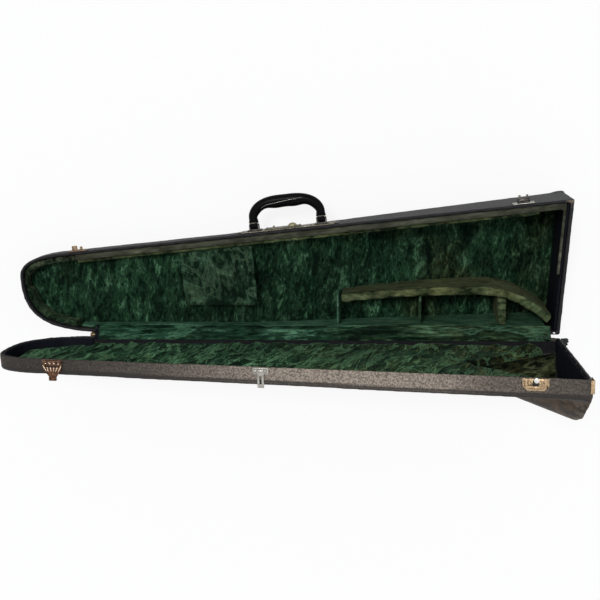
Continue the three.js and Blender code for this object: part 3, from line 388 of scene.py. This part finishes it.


# How light the lid's covering is along the case
FRONT_LIGHTNESS = ((0.13, 0.09), (0.30, 0.23), (0.45, 0.65), (0.57, 0.82), (0.71, 0.77), (0.80, 0.345), (0.93, 0.21))
look = {
    "shell_base": leatherette("shell_base", (0.0045, 0.0055, 0.0072), (0.015, 0.018, 0.022), scuff=0.10),
    "shell_lid": leatherette("shell_lid", (0.175, 0.145, 0.120), (0.58, 0.485, 0.40), scuff=0.12, front_lightness=FRONT_LIGHTNESS,
                             lined=True),
    "rim": velvet("rim", deep=(0.040, 0.042, 0.028), middle=(0.072, 0.076, 0.054), bright=(0.125, 0.128, 0.096),
                  aged=(0.055, 0.052, 0.032), sheen=(0.4, 0.4, 0.3, 1), age=(0, 0, 0.1), way=(0, 0, 0.1),
                  lengths=(3, 1, 1), crushed=0.4, streaks=0.0, shade=0.25),
    "tip": velvet("tip", deep=(0.0015, 0.0065, 0.0030), middle=(0.011, 0.027, 0.013), bright=(0.066, 0.105, 0.055),
                  aged=(0.064, 0.070, 0.042), sheen=(0.4, 0.5, 0.25, 1), age=(0, 12.0, -0.18),
                  lengths=(1, 1.2, 1), crushed=0.7, streaks=0.3, shade=0.3),
    "well": velvet("well", deep=(0.0010, 0.0080, 0.0036), middle=(0.0095, 0.034, 0.0160), bright=(0.075, 0.170, 0.092),
                   aged=(0.038, 0.037, 0.011), sheen=(0.2, 0.6, 0.35, 1), age=(0.6, 2.4, -0.16), way=(0, 0, -0.12),
                   lengths=(0.8, 1.9, 1), size=0.62, crushed=0.8, streaks=0.14, shade=0.5),
    "shelf": velvet("shelf", deep=(0.003, 0.014, 0.007), middle=(0.023, 0.055, 0.029), bright=(0.105, 0.190, 0.110),
                    aged=(0.036, 0.044, 0.016), sheen=(0.25, 0.6, 0.35, 1), age=(0, 0, 0.0), way=(0, 0, 0.25),
                    lengths=(0.9, 1.6, 1), crushed=0.8, streaks=0.4, shade=0.3),
    "strip": velvet("strip", deep=(0.0016, 0.011, 0.005), middle=(0.0170, 0.058, 0.031), bright=(0.130, 0.300, 0.180),
                    aged=(0.034, 0.042, 0.015), sheen=(0.25, 0.7, 0.45, 1), age=(1.7, 0, 0.0),
                    lengths=(3.2, 0.6, 0.6), crushed=0.7, streaks=0.45, shade=0.45, before=-0.3300),
    "ledge": velvet("ledge", deep=(0.012, 0.042, 0.023), middle=(0.072, 0.165, 0.100), bright=(0.220, 0.420, 0.265),
                    aged=(0.058, 0.068, 0.027), sheen=(0.25, 0.7, 0.4, 1), age=(1.6, 0, 0.10),
                    lengths=(3, 1, 1), crushed=0.8, streaks=0.3, shade=0.35, top=True),
    "cushion": velvet("cushion", deep=(0.0006, 0.0050, 0.0020), middle=(0.0115, 0.041, 0.017),
                      bright=(0.135, 0.280, 0.140), aged=(0.050, 0.048, 0.015), sheen=(0.25, 0.6, 0.35, 1),
                      age=(1.5, 0, 0.30), way=(0, 1.12, 0), lengths=(2.6, 1, 0.85), size=0.7, crushed=1.0, streaks=0.6,
                      shade=0.40),
    "hump": velvet("hump", deep=(0.002, 0.005, 0.0020), middle=(0.030, 0.042, 0.018), bright=(0.125, 0.150, 0.075),
                   aged=(0.040, 0.033, 0.011), sheen=(0.3, 0.5, 0.3, 1), age=(0, 0, 0.45), way=(0, 0.5, 0),
                   lengths=(2.5, 1, 0.9), crushed=1.1, streaks=0.6, shade=0.5),
    "olive": velvet("olive", deep=(0.012, 0.024, 0.010), middle=(0.070, 0.098, 0.044), bright=(0.175, 0.220, 0.112),
                    aged=(0.085, 0.080, 0.030), sheen=(0.45, 0.5, 0.25, 1), age=(0, 0, 0.20),
                    lengths=(2, 1, 1), crushed=0.7, streaks=0.25, shade=0.3, top=True),
    "black": cloth_black("black"),
    "brass": old_metal("brass", (0.36, 0.245, 0.135), (0.075, 0.042, 0.022), 0.34, 0.8),
    "plate": old_metal("plate", (0.25, 0.23, 0.18), (0.060, 0.054, 0.042), 0.32, 0.85),
    "lock": old_metal("lock", (0.20, 0.185, 0.135), (0.045, 0.040, 0.028), 0.32, 0.8),
    "button": old_metal("button", (0.42, 0.38, 0.24), (0.10, 0.085, 0.050), 0.24, 0.6),
    "bronze": old_metal("bronze", (0.26, 0.18, 0.11), (0.045, 0.028, 0.018), 0.36, 0.8),
    "copper": old_metal("copper", (0.17, 0.095, 0.058), (0.028, 0.017, 0.012), 0.34, 0.8),
    "fan": fan_metal("fan", (0.13, 0.062, 0.036), (0.022, 0.013, 0.009), (0.86, 0.68, 0.50)),
    "gilt": old_metal("gilt", (0.60, 0.44, 0.27), (0.11, 0.066, 0.038), 0.28, 0.8),
    "nickel": old_metal("nickel", (0.50, 0.49, 0.45), (0.10, 0.095, 0.08), 0.24, 0.75),
    "dull_nickel": old_metal("dull_nickel", (0.105, 0.10, 0.088), (0.026, 0.025, 0.022), 0.32, 0.8),
    "silver": old_metal("silver", (0.75, 0.74, 0.70), (0.35, 0.33, 0.30), 0.2, 0.4),
    "iron": old_metal("iron", (0.040, 0.036, 0.033), (0.014, 0.013, 0.012), 0.42, 0.7),
    "grip": moulded("grip", (0.0012, 0.0012, 0.0015), 0.20),
}


# ---------------------------------------------------------------- mesh helpers
def link(name, mesh):
    made = bpy.data.objects.new(name, mesh)
    scene.collection.objects.link(made)
    return made


def copied(name, sources, case=None):
    """The CAD nodes' faces in one new object, in the case's or the lid's own frame."""
    work = bmesh.new()
    for source in sources:
        work.from_mesh(nodes[source].data)
    bmesh.ops.remove_doubles(work, verts=work.verts, dist=1e-6)
    if case is not None:
        work.transform(case.inverted())
    mesh = bpy.data.meshes.new(name)
    work.to_mesh(mesh)
    work.free()
    return link(name, mesh)


def applied(piece):
    """The piece with its modifiers made real."""
    shown = piece.evaluated_get(bpy.context.evaluated_depsgraph_get())
    mesh = bpy.data.meshes.new_from_object(shown)
    piece.modifiers.clear()
    old, piece.data = piece.data, mesh
    mesh.name = old.name
    bpy.data.meshes.remove(old)
    return piece


def remeshed(piece, voxel):
    """The piece as one closed skin of even faces."""
    made = piece.modifiers.new("skin", "REMESH")
    made.mode = "VOXEL"
    made.voxel_size = voxel
    made.use_smooth_shade = True
    return applied(piece)


def points_of(mesh):
    co = np.empty(len(mesh.vertices) * 3)
    mesh.vertices.foreach_get("co", co)
    return co.reshape(-1, 3)


def normals_of(mesh):
    no = np.empty(len(mesh.vertices) * 3, np.float32)
    mesh.vertex_normals.foreach_get("vector", no)
    return no.reshape(-1, 3).astype(float)


def set_points(mesh, co):
    mesh.vertices.foreach_set("co", co.ravel())
    mesh.update()


def smoothed(mesh, co, rounds, weight):
    """Each point moves toward the middle of its neighbours by its weight, this many times."""
    edges = np.empty(len(mesh.edges) * 2, np.int32)
    mesh.edges.foreach_get("vertices", edges)
    a, b = edges.reshape(-1, 2).T
    count = len(co)
    near = np.bincount(a, minlength=count) + np.bincount(b, minlength=count)
    share = (weight / np.maximum(near, 1))[:, None]
    for _ in range(rounds):
        total = np.stack([np.bincount(a, co[b, k], count) + np.bincount(b, co[a, k], count) for k in range(3)], 1)
        co = co + share * total - weight[:, None] * co
    return co


def ripple(co, length, seed):
    """Smooth noise between about -1 and 1, from waves about this long in random directions."""
    waves = 14
    rng = np.random.default_rng(seed)
    total = np.zeros(len(co))
    for _ in range(waves):
        way = rng.normal(size=3)
        way *= 1 / np.linalg.norm(way)
        total += np.sin(co @ way * (2 * math.pi / length * rng.uniform(0.6, 1.6)) + rng.uniform(0, 2 * math.pi))
    return total * math.sqrt(2 / waves) * 0.6


def snapped(co, sources, case):
    """Points laid back on the CAD faces that they came from."""
    reach = 0.0025
    guide = copied("guide", sources, case)
    tree = BVHTree.FromPolygons([vert.co for vert in guide.data.vertices],
                                [face.vertices for face in guide.data.polygons])
    for index, point in enumerate(co):
        place = tree.find_nearest(Vector(point), reach)[0]
        if place is not None:
            co[index] = place
    bpy.data.objects.remove(guide)
    return co


def marked(mesh, name, values):
    """A number for each point, for the material to read under this name."""
    made = mesh.attributes.new(name, "FLOAT", "POINT")
    made.data.foreach_set("value", np.asarray(values, np.float32))


def finish_piece(piece, case, body, material, replaced):
    """Back into the frame of the pack, with its material and body; the CAD nodes that it replaces are hidden."""
    if case is not None:
        piece.data.transform(case)
    piece.data.materials.clear()
    piece.data.materials.append(look[material])
    for face in piece.data.polygons:
        face.use_smooth = True
    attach(piece, body)
    if replaced:
        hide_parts(*replaced)


def stuffed(name, source, case, body, material, voxel, rounds, swell, length, seed):
    """Velvet glued over boards or wadding: rounded edges and a slightly uneven surface."""
    pull = 0.0002
    piece = remeshed(copied(name, [source], case), voxel)
    mesh = piece.data
    co = smoothed(mesh, points_of(mesh), rounds, np.full(len(mesh.vertices), 0.5))
    set_points(mesh, co)
    co = co + normals_of(mesh) * (swell * ripple(co, length, seed) - pull)[:, None]
    set_points(mesh, co)
    # How much each point looks up, for the painted shade on upward faces.
    marked(mesh, "top", np.clip(normals_of(mesh)[:, 2] * 2.2 - 0.8, 0, 1))
    finish_piece(piece, case, body, material, [source])


# ---------------------------------------------------------------- shells
def shell(name, sources, case, body, material, lid):
    """The covering runs over walls and panel in one piece, turned over rounded outer edges.

    within marks the faces that look into the case, hollow those of the hump, found by rays that meet the shell again.
    """
    piece = remeshed(copied(name, sources, case), 0.0026)
    mesh = piece.data
    co = snapped(points_of(mesh), sources, case)
    set_points(mesh, co)
    normal = normals_of(mesh)
    depth = lid_depth(co[:, 0]) if lid else base_depth(co[:, 0])
    edge = (depth - co[:, 2]) if lid else (co[:, 2] + depth)
    near = np.clip(1 - np.abs(edge) / 0.007, 0, 1)
    hump = np.clip((co[:, 2] - 0.036) / 0.008, 0, 1) if lid else np.zeros(len(co))
    start = co.copy()
    tree = BVHTree.FromPolygons([tuple(point) for point in co], [tuple(face.vertices) for face in mesh.polygons])

    def faces_shell(index):
        way = Vector(normal[index])
        return tree.ray_cast(Vector(co[index]) + way * 0.0012, way, 0.30)[0] is not None

    within, hollow = np.zeros(len(co)), np.zeros(len(co))
    for index in np.nonzero(edge > 0.004)[0]:
        within[index] = faces_shell(index)
    if lid:
        within[(normal[:, 2] < -0.7) & (co[:, 2] > 0.008) & (edge > 0.002)] = 1
        for index in np.nonzero(co[:, 2] > 0.034)[0]:
            hollow[index] = faces_shell(index) or normal[index, 2] < -0.15
    lining = np.maximum(within, hollow)
    co = smoothed(mesh, co, 1, np.full(len(co), 0.25))
    co = smoothed(mesh, co, 10, 0.6 * np.maximum(near, hump) * (1 - within))
    if lid:
        co = smoothed(mesh, co, 22, 0.6 * hump * np.clip((co[:, 0] - 0.80) / 0.08, 0, 1))
    set_points(mesh, co)
    dents = 0.00030 * ripple(co, 0.09, 5) + 0.00015 * ripple(co, 0.02, 6)
    swell = np.zeros(len(co))
    if not lid:
        bumped = np.array([FAR - 0.008, END_WIDTH, -0.132])
        swell = 0.0022 * np.exp(-((co - bumped) ** 2).sum(1) / 0.014 ** 2)
    co = co + normals_of(mesh) * (swell - np.abs(dents))[:, None]
    set_points(mesh, co)
    if lid:
        foot = np.clip((0.0098 - edge) / 0.0008, 0, 1) * np.clip((edge + 0.004) / 0.002, 0, 1)
        # The ridge band 5 mm from the edge lightens the dark foot in a line; it is a painted highlight on the rounded
        # edge.
        ridge = np.clip(1 - np.abs(edge - 0.0052) / 0.0018, 0, 1)
        marked(mesh, "brown", np.clip((start[:, 2] - depth - 0.0035) / 0.006, 0, 1) * (1 - lining))
        marked(mesh, "foot", foot * (1 - within) * (1 - 0.25 * ridge))
        marked(mesh, "wear", 0.55 * np.clip((start[:, 0] - 0.89) / 0.04, 0, 1) * np.clip(1 - edge / 0.012, 0, 1)
               * (1 - within))
        rim = (start[:, 2] < 0.0022) * (normal[:, 2] < -0.5) * (TIP_WIDTH + TAPER * start[:, 0] - start[:, 1] > 0.012)
        inner = (start[:, 0] > 0.90) * (normal[:, 0] < -0.7) * (start[:, 2] > 0.002)
        rim_share = rim * np.where(start[:, 0] > 0.9, 0.97, 0.8)
        marked(mesh, "inside", np.maximum(np.maximum(lining, inner), rim_share))
    else:
        # Painted shadow: the base's rim top faces are marked to be darkened nearly to black.
        rim = np.clip((start[:, 2] + 0.002) / 0.001, 0, 1) * (normal[:, 2] > 0.6)
        marked(mesh, "painted_rim_shadow", rim)
        marked(mesh, "wear", 0.8 * rim * np.clip((start[:, 0] - 0.915) / 0.01, 0, 1)
               * np.clip((start[:, 1] - 0.205) / 0.012, 0, 1))
    finish_piece(piece, case, body, material, sources)


shell("base_shell", ["base_side_wall", "base_end_wall", "base_back_panel"], BASE, "base", "shell_base", False)
shell("lid_shell", ["lid_side_wall", "lid_end_wall", "lid_panel"], LID, "lid", "shell_lid", True)

# ---------------------------------------------------------------- velvet and lining
# name, CAD node, slot, material, voxel, rounds of smoothing, height and length of the unevenness
for name, source, slot, material, voxel, rounds, swell, length in (
        ("rim_band", "base_rim_lip", "rim_lip", "rim", 0.002, 2, 0.0002, 0.03),
        ("floor_velvet", "floor_pad", "green_velvet", "well", 0.0022, 2, 0.0004, 0.03),
        ("tip_velvet", "tip_pad", "green_velvet", "tip", 0.0025, 4, 0.0008, 0.02),
        ("side_block_velvet", "handle_side_block", "olive_velvet", "olive", 0.0027, 3, 0.0006, 0.03),
        ("ledge_velvet", "hinge_side_ledge", "green_velvet", "ledge", 0.0025, 3, 0.0006, 0.03),
        ("bridge_velvet", "slide_bridge", "green_velvet", "shelf", 0.0027, 4, 0.0008, 0.025),
        ("partition_velvet", "bell_partition", "olive_velvet", "olive", 0.0027, 4, 0.0007, 0.03),
        ("end_board_velvet", "accessory_end_board", "green_velvet", "ledge", 0.002, 3, 0.0004, 0.02),
        ("thin_divider_velvet", "thin_divider", "green_velvet", "ledge", 0.002, 3, 0.0004, 0.02),
        ("thick_divider_velvet", "thick_divider", "olive_velvet", "olive", 0.002, 3, 0.0005, 0.02),
        ("end_lining_cloth", "base_end_lining", "black_lining", "black", 0.002, 2, 0.0003, 0.03)):
    stuffed(name, source, BASE, "base", material, voxel, rounds, swell, length, seed=len(name) + len(source))
for name, source, slot, material in (("lid_wall_lining", "lid_facing", "black_lining", "black"),
                                     ("lid_end_cloth", "lid_end_lining", "black_lining", "black"),
                                     ("hump_velvet", "lid_hump_lining", "green_velvet", "hump")):
    stuffed(name, source, LID, "lid", material, 0.002, 2, 0.0003, 0.035, seed=len(name))


def lid_cushion():
    """The lid's pad under loose velvet: long slanting folds, deeper where the cloth is slack."""
    piece = remeshed(copied("lid_cushion", ["lid_pad"], LID), 0.0026)
    mesh = piece.data
    co = smoothed(mesh, points_of(mesh), 4, np.full(len(mesh.vertices), 0.5))
    set_points(mesh, co)
    normal = normals_of(mesh)
    face = np.clip(-normal[:, 2] * 1.4, 0, 1)
    lift = np.zeros(len(co))
    for index, (x, y, _) in enumerate(co):
        if face[index] < 0.02:
            continue
        bend = 0.6 * noise.noise(Vector((x * 9, y * 14, 3.1)))
        along, across = 0.342 * x - 0.940 * y, 0.940 * x + 0.342 * y
        ridge = (1 - abs(noise.noise(Vector((along * 13 + bend, across * 40 + bend * 2.4, 7.7))))) ** 3
        slack = 0.6 + 0.55 * noise.noise(Vector((x * 6, y * 8, 11.0)))
        small = noise.noise(Vector((x * 150, y * 110, 5.0)))
        lift[index] = max(-0.0040, (ridge - 0.62) * 0.0080 * slack) + small * 0.0008
        near = min(1, max(0, 1 - (y - 0.011) / 0.030)) * min(1, max(0, (x - 0.125) / 0.012))
        near *= min(1, max(0, (0.893 - x) / 0.03))
        lift[index] += 0.0056 * near * near * (3 - 2 * near)
    co = co + normal * (lift * face)[:, None]
    co = smoothed(mesh, co, 1, np.full(len(co), 0.4))
    set_points(mesh, co)
    finish_piece(piece, LID, "lid", "cushion", ["lid_pad"])


lid_cushion()


def cloth_sheet(name, points, columns, rows):
    """A sheet with two faces and closed edges, from the points of its one face and then its other."""
    total = columns * rows
    faces = []
    for i in range(columns - 1):
        for j in range(rows - 1):
            a, b, c, d = i * rows + j, (i + 1) * rows + j, (i + 1) * rows + j + 1, i * rows + j + 1
            faces += [(a, b, c, d), (a + total, d + total, c + total, b + total)]
    ends = [(i * rows + j, i * rows + j + 1) for j in range(rows - 1) for i in (0, columns - 1)]
    sides = [(i * rows + j, (i + 1) * rows + j) for i in range(columns - 1) for j in (0, rows - 1)]
    faces += [(a, b, b + total, a + total) for a, b in ends + sides]
    mesh = bpy.data.meshes.new(name)
    mesh.from_pydata(points, [], faces)
    work = bmesh.new()
    work.from_mesh(mesh)
    bmesh.ops.recalc_face_normals(work, faces=work.faces)
    work.to_mesh(mesh)
    work.free()
    return link(name, mesh)


def hinge_strip():
    """Velvet strip from the ledge over both rims onto the lid's inner face, its far part turned with the open lid."""
    lift, half, wall_edge, foot = 0.0021, 0.0005, 0.005, 0.0128

    def turned(y, z):
        cos, sin = math.cos(OPEN_ANGLE), math.sin(OPEN_ANGLE)
        y, z = y - HINGE_AXIS_Y, z - HINGE_AXIS_Z
        return y * cos - z * sin + HINGE_AXIS_Y, y * sin + z * cos + HINGE_AXIS_Z

    path = [(foot, -0.0072), (wall_edge + lift + half, -0.0072), (wall_edge + lift, -0.0057), (wall_edge + lift, 0),
            (wall_edge + half, lift), (wall_edge / 4, lift), turned(wall_edge / 4, 0.0006 - lift),
            turned(wall_edge + half, 0.0006 - lift), turned(wall_edge + lift, 0.0006), turned(wall_edge + lift, 0.0055)]
    line = np.array(path)
    steps = np.concatenate([[0], np.cumsum(np.linalg.norm(np.diff(line, axis=0), axis=1))])
    rows = 34
    place = np.linspace(0, steps[-1], rows)
    line = np.stack([np.interp(place, steps, line[:, 0]), np.interp(place, steps, line[:, 1])], 1)
    for _ in range(9):
        line[1:-1] = (line[:-2] + 2 * line[1:-1] + line[2:]) / 4
    across = np.gradient(line, axis=0)
    across /= np.linalg.norm(across, axis=1)[:, None]
    out = np.stack([across[:, 1], -across[:, 0]], 1)
    start, end, columns = 0.129, 0.900, 320
    xs = np.linspace(start, end, columns)
    points = []
    flat = np.array([(x, y, z) for x in xs for y, z in line])
    wave = 0.0007 * ripple(flat, 0.030, 31) + 0.0005 * ripple(flat, 0.010, 32)
    edge = np.tile(np.minimum(1, np.minimum(np.arange(rows), rows - 1 - np.arange(rows)) / 4), columns)
    wave = np.abs(wave) * edge
    outward = np.tile(out, (columns, 1))
    for side in (-1, 1):
        moved = flat.copy()
        moved[:, 1:] -= outward * (wave + side * half * 0.8)[:, None]
        points.extend(map(tuple, moved))
    piece = cloth_sheet("hinge_velvet", points, columns, rows)
    mesh = piece.data
    mesh.transform(BASE)
    mesh.materials.append(look["strip"])
    for face in mesh.polygons:
        face.use_smooth = True
    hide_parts("hinge_cloth")
    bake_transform(piece)


hinge_strip()


# ---------------------------------------------------------------- fittings
def fitting(node, body, material, bevel):
    """A CAD fitting with its sharp edges broken and its round faces smooth."""
    piece = copied(node + "_dressed", [node])
    mesh = piece.data
    work = bmesh.new()
    work.from_mesh(mesh)
    bmesh.ops.dissolve_limit(work, angle_limit=math.radians(1), verts=work.verts, edges=work.edges)
    work.to_mesh(mesh)
    work.free()
    made = piece.modifiers.new("edges", "BEVEL")
    made.width = bevel
    made.segments = 2
    made.limit_method = "ANGLE"
    made.angle_limit = math.radians(42)
    made.use_clamp_overlap = True
    applied(piece)
    finish_piece(piece, None, body, material, [node])
    piece.data.set_sharp_from_angle(angle=math.radians(40))


# body, slot, material, width of the broken edges, nodes
HARDWARE = [
    ("base", "brass", "brass", 0.0003, ["hinge_base_leaf_1", "hinge_base_leaf_2", "hinge_base_leaf_3"]),
    ("lid", "brass", "brass", 0.0003, ["hinge_lid_leaf_1", "hinge_lid_leaf_2", "hinge_lid_leaf_3"]),
    ("base", "iron", "iron", 0.0003, ["hinge_pin_1", "hinge_pin_2", "hinge_pin_3", "right_latch_pin"]),
    ("base", "iron", "iron", 0.0005, ["right_latch_housing"]),
    ("base", "brass", "plate", 0.0004, ["handle_plate"]),
    ("base", "brass", "lock", 0.0006, ["lock_case"]),
    ("base", "brass", "bronze", 0.0005, ["left_catch_plate"]),
    ("base", "iron", "bronze", 0.0005, ["left_catch_staple"]),
    ("base", "nickel", "dull_nickel", 0.0005, ["handle_bracket_left", "handle_bracket_right"]),
    ("base", "nickel", "nickel", 0.0004, ["right_latch_plate"]),
    ("base", "iron", "iron", 0.0003, ["handle_pin_left", "handle_pin_right"]),
    ("lid", "nickel", "nickel", 0.0004, ["centre_hasp_plate"]),
    ("lid", "iron", "iron", 0.0002, ["centre_hasp_pin", "left_hasp_pin"]),
    ("lid", "brass", "copper", 0.0004, ["left_hasp_plate"]),
    ("lid", "brass", "gilt", 0.0004, ["right_strike_plate", "end_corner_plate"]),
    ("lid", "nickel", "silver", 0.0006, ["right_strike_knob"]),
    ("handle", "nickel", "grip", 0.0012, ["handle_end_left", "handle_end_right"]),
    ("lock_button", "brass", "button", 0.0004, ["lock_thumb_slide"]),
    ("left_hasp", "brass", "fan", 0.0004, ["left_hasp_arm"]),
    ("centre_hasp", "nickel", "nickel", 0.0004, ["centre_hasp_strap"]),
    ("latch_lever", "nickel", "dull_nickel", 0.0004, ["right_latch_lever"]),
]
for body, slot, material, bevel, names in HARDWARE:
    for name in names:
        fitting(name, body, material, bevel)


def handle():
    """The grip: smooth moulded plastic, fuller in the middle, with a thin nickel line along it that stands in for a
    highlight.
    """
    piece = copied("handle_grip_moulded", ["handle_grip"])
    made = piece.modifiers.new("round", "SUBSURF")
    made.levels = made.render_levels = 2
    applied(piece)
    mesh = piece.data
    mesh.transform(BASE_SIDE.inverted())
    co = points_of(mesh)
    off = co[:, 0] - HANDLE_MIDDLE
    fuller = np.cos(np.clip(off / 0.044, -1, 1) * math.pi / 2) ** 2 * np.clip((0.049 - co[:, 1]) / 0.010, 0, 1)
    co[:, 1] -= 0.0034 * fuller
    co += normals_of(mesh) * 0.0005
    set_points(mesh, co)
    # A thin nickel tube along the grip's front, standing in for a highlight.
    highlight_line = []
    for step in range(31):
        x = HANDLE_MIDDLE - 0.042 + step * 0.0024
        close = co[np.abs(co[:, 0] - x) < 0.002]
        low, high = close[:, 1].min(), close[:, 1].max()
        y = low + (0.30 + 0.012 * step) * (high - low)
        over = close[np.abs(close[:, 1] - y) < 0.0022]
        highlight_line.append((x, y, over[:, 2].max()))
    highlight_line = np.array(highlight_line)
    for _ in range(3):
        highlight_line[1:-1] = (highlight_line[:-2] + 2 * highlight_line[1:-1] + highlight_line[2:]) / 4
    finish_piece(piece, BASE_SIDE, "handle", "grip", ["handle_grip"])
    points, faces = [], []
    for index, (x, y, z) in enumerate(highlight_line):
        size = 0.00042 * math.sin(math.pi * (index + 1) / (len(highlight_line) + 1)) ** 0.5
        for turn in range(6):
            angle = turn * math.pi / 3
            points.append((x, y + size * math.cos(angle), z + size * math.sin(angle)))
    for index in range(len(highlight_line) - 1):
        for turn in range(6):
            a, b = index * 6 + turn, index * 6 + (turn + 1) % 6
            faces.append((a, b, b + 6, a + 6))
    faces += [tuple(range(5, -1, -1)), tuple(range(len(points) - 6, len(points)))]
    line = bpy.data.meshes.new("grip_highlight_line")
    line.from_pydata(points, [], faces)
    finish_piece(link("grip_highlight_line", line), BASE_SIDE, "handle", "nickel", [])


handle()


# ---------------------------------------------------------------- small details
def lump(work, centre, size):
    """A squashed ball, added to the mesh that is being built."""
    made = bmesh.ops.create_uvsphere(work, u_segments=14, v_segments=6, radius=1)["verts"]
    bmesh.ops.scale(work, vec=size, verts=made)
    bmesh.ops.translate(work, vec=centre, verts=made)


def block(work, low, high):
    made = bmesh.ops.create_cube(work, size=1)["verts"]
    bmesh.ops.scale(work, vec=[b - a for a, b in zip(low, high)], verts=made)
    bmesh.ops.translate(work, vec=[(a + b) / 2 for a, b in zip(low, high)], verts=made)


def detail(name, case, body, slot, material, build, bevel=0.0):
    """A small piece that the CAD doesn't hold, from what build adds to an empty mesh."""
    work = bmesh.new()
    build(work)
    mesh = bpy.data.meshes.new(name)
    work.to_mesh(mesh)
    work.free()
    piece = link(name, mesh)
    if bevel:
        made = piece.modifiers.new("edges", "BEVEL")
        made.width, made.segments, made.limit_method = bevel, 2, "ANGLE"
        applied(piece)
    finish_piece(piece, case, body, material, [])
    piece.data.set_sharp_from_angle(angle=math.radians(45))


def screws(places, reach, radius=0.0019):
    """Round screw heads on a plate; the places are along the wall and up from the rim, in millimetres."""
    def build(work):
        for x, z in places:
            lump(work, (x * MM, reach, z * MM), (radius, 0.0007, radius))
            block(work, (x * MM - radius * 0.8, reach + 0.0004, z * MM - 0.00025),
                  (x * MM + radius * 0.8, reach + 0.00078, z * MM + 0.00025))
    return build


detail("handle_plate_screws", BASE_SIDE, "base", "brass", "plate",
       screws([(HANDLE_PLATE_MIDDLE + x, -17) for x in (-78, -38, 38, 78)], PLATE_FACE))
detail("lock_screws", BASE_SIDE, "base", "brass", "lock",
       screws([(HANDLE_PLATE_MIDDLE - 8 + x, z) for x in (-28, 28) for z in (-5.6, -20.6)], LOCK_FACE, 0.0011))
detail("catch_screws", BASE_SIDE, "base", "brass", "bronze", screws([(93, -8), (119, -8)], PLATE_FACE))
detail("latch_screws", BASE_SIDE, "base", "nickel", "nickel", screws([(843.5, -10), (870.5, -10)], PLATE_FACE))
detail("hasp_screws", LID_SIDE, "lid", "nickel", "nickel", screws([(438, 9.6), (456, 9.6)], PLATE_FACE, 0.0013))


def strike_ornament(work):
    """Beads and leaves in low relief on the right strike plate."""
    middle = 0.856
    for step in range(7):
        x = middle + (step - 3) * 0.0032
        lump(work, (x, PLATE_FACE + 0.0002, 0.0178 - 0.0004 * abs(step - 3)), (0.0014, 0.0011, 0.0011))
    for side in (-1, 1):
        for row in range(3):
            lump(work, (middle + side * 0.0172, PLATE_FACE, 0.0042 + 0.0034 * row), (0.0011, 0.0009, 0.0014))
        lump(work, (middle + side * 0.0090, PLATE_FACE, 0.0075), (0.0022, 0.0011, 0.0034))


detail("strike_scrolls", LID_SIDE, "lid", "brass", "gilt", strike_ornament)
detail("strike_inset", LID_SIDE, "lid", "iron", "iron",
       lambda work: block(work, (0.8515, PLATE_FACE - 0.0003, 0.0038), (0.8605, PLATE_FACE + 0.0007, 0.0125)), 0.0004)


def sleeve(work, x, low, high, wide, narrow, deep):
    """A tapering collar round the handle's end, its axis out from the wall."""
    made = bmesh.ops.create_cone(work, cap_ends=True, segments=28, radius1=wide, radius2=narrow,
                                 depth=high - low)["verts"]
    bmesh.ops.rotate(work, matrix=Matrix.Rotation(-math.pi / 2, 3, "X"), verts=made)
    bmesh.ops.scale(work, vec=(1, 1, deep), verts=made)
    bmesh.ops.translate(work, vec=(x, (low + high) / 2, -0.018), verts=made)


def on_both(build):
    """The same thing at either end of the handle."""
    def both(work):
        for side in (-1, 1):
            build(work, (HANDLE_PLATE_MIDDLE + side * HANDLE_FOOT_REACH) * MM)
    return both


detail("boots", BASE_SIDE, "handle", "nickel", "grip",
       on_both(lambda work, x: sleeve(work, x, 0.0148, 0.0240, 0.0084, 0.0069, 0.74)), 0.0006)
detail("boot_bands", BASE_SIDE, "handle", "nickel", "plate",
       on_both(lambda work, x: sleeve(work, x, 0.0148, 0.0156, 0.0087, 0.0086, 0.74)))
detail("corner_tack", BASE, "base", "nickel", "silver",
       lambda work: lump(work, (0.9055, 0.0025, -0.0002), (0.0020, 0.0020, 0.0006)))


def torn_flap():
    """A ragged piece of covering that has come away from the lid's end by the hinge."""
    columns, rows = 26, 12
    points = []
    for side in (0, 1):
        for i in range(columns):
            for j in range(rows):
                along, out = i / (columns - 1), j / (rows - 1)
                tear = noise.noise(Vector((along * 7, 0.4, 3.3))) * 0.5 + 0.85
                curl = noise.noise(Vector((along * 5, out * 4, 8.1)))
                reach = 0.0160 * out * tear * math.sin(math.pi * min(1, along * 0.85 + 0.2)) ** 0.6
                y = 0.002 + 0.009 * along + 0.0030 * curl * out + 0.0009 * side
                x = HINGE_LENGTH + END_LEAN * y + 0.0007 + reach * (0.85 + 0.15 * curl)
                z = 0.0015 + 0.0150 * along + 0.0020 * curl * out
                points.append((x, y, z))
    piece = cloth_sheet("torn_flap", points, columns, rows)
    finish_piece(piece, LID, "lid", "shell_base", [])


torn_flap()

for node in nodes.values():
    if not node.hide_render:
        print("CAD node still shown:", node.name)
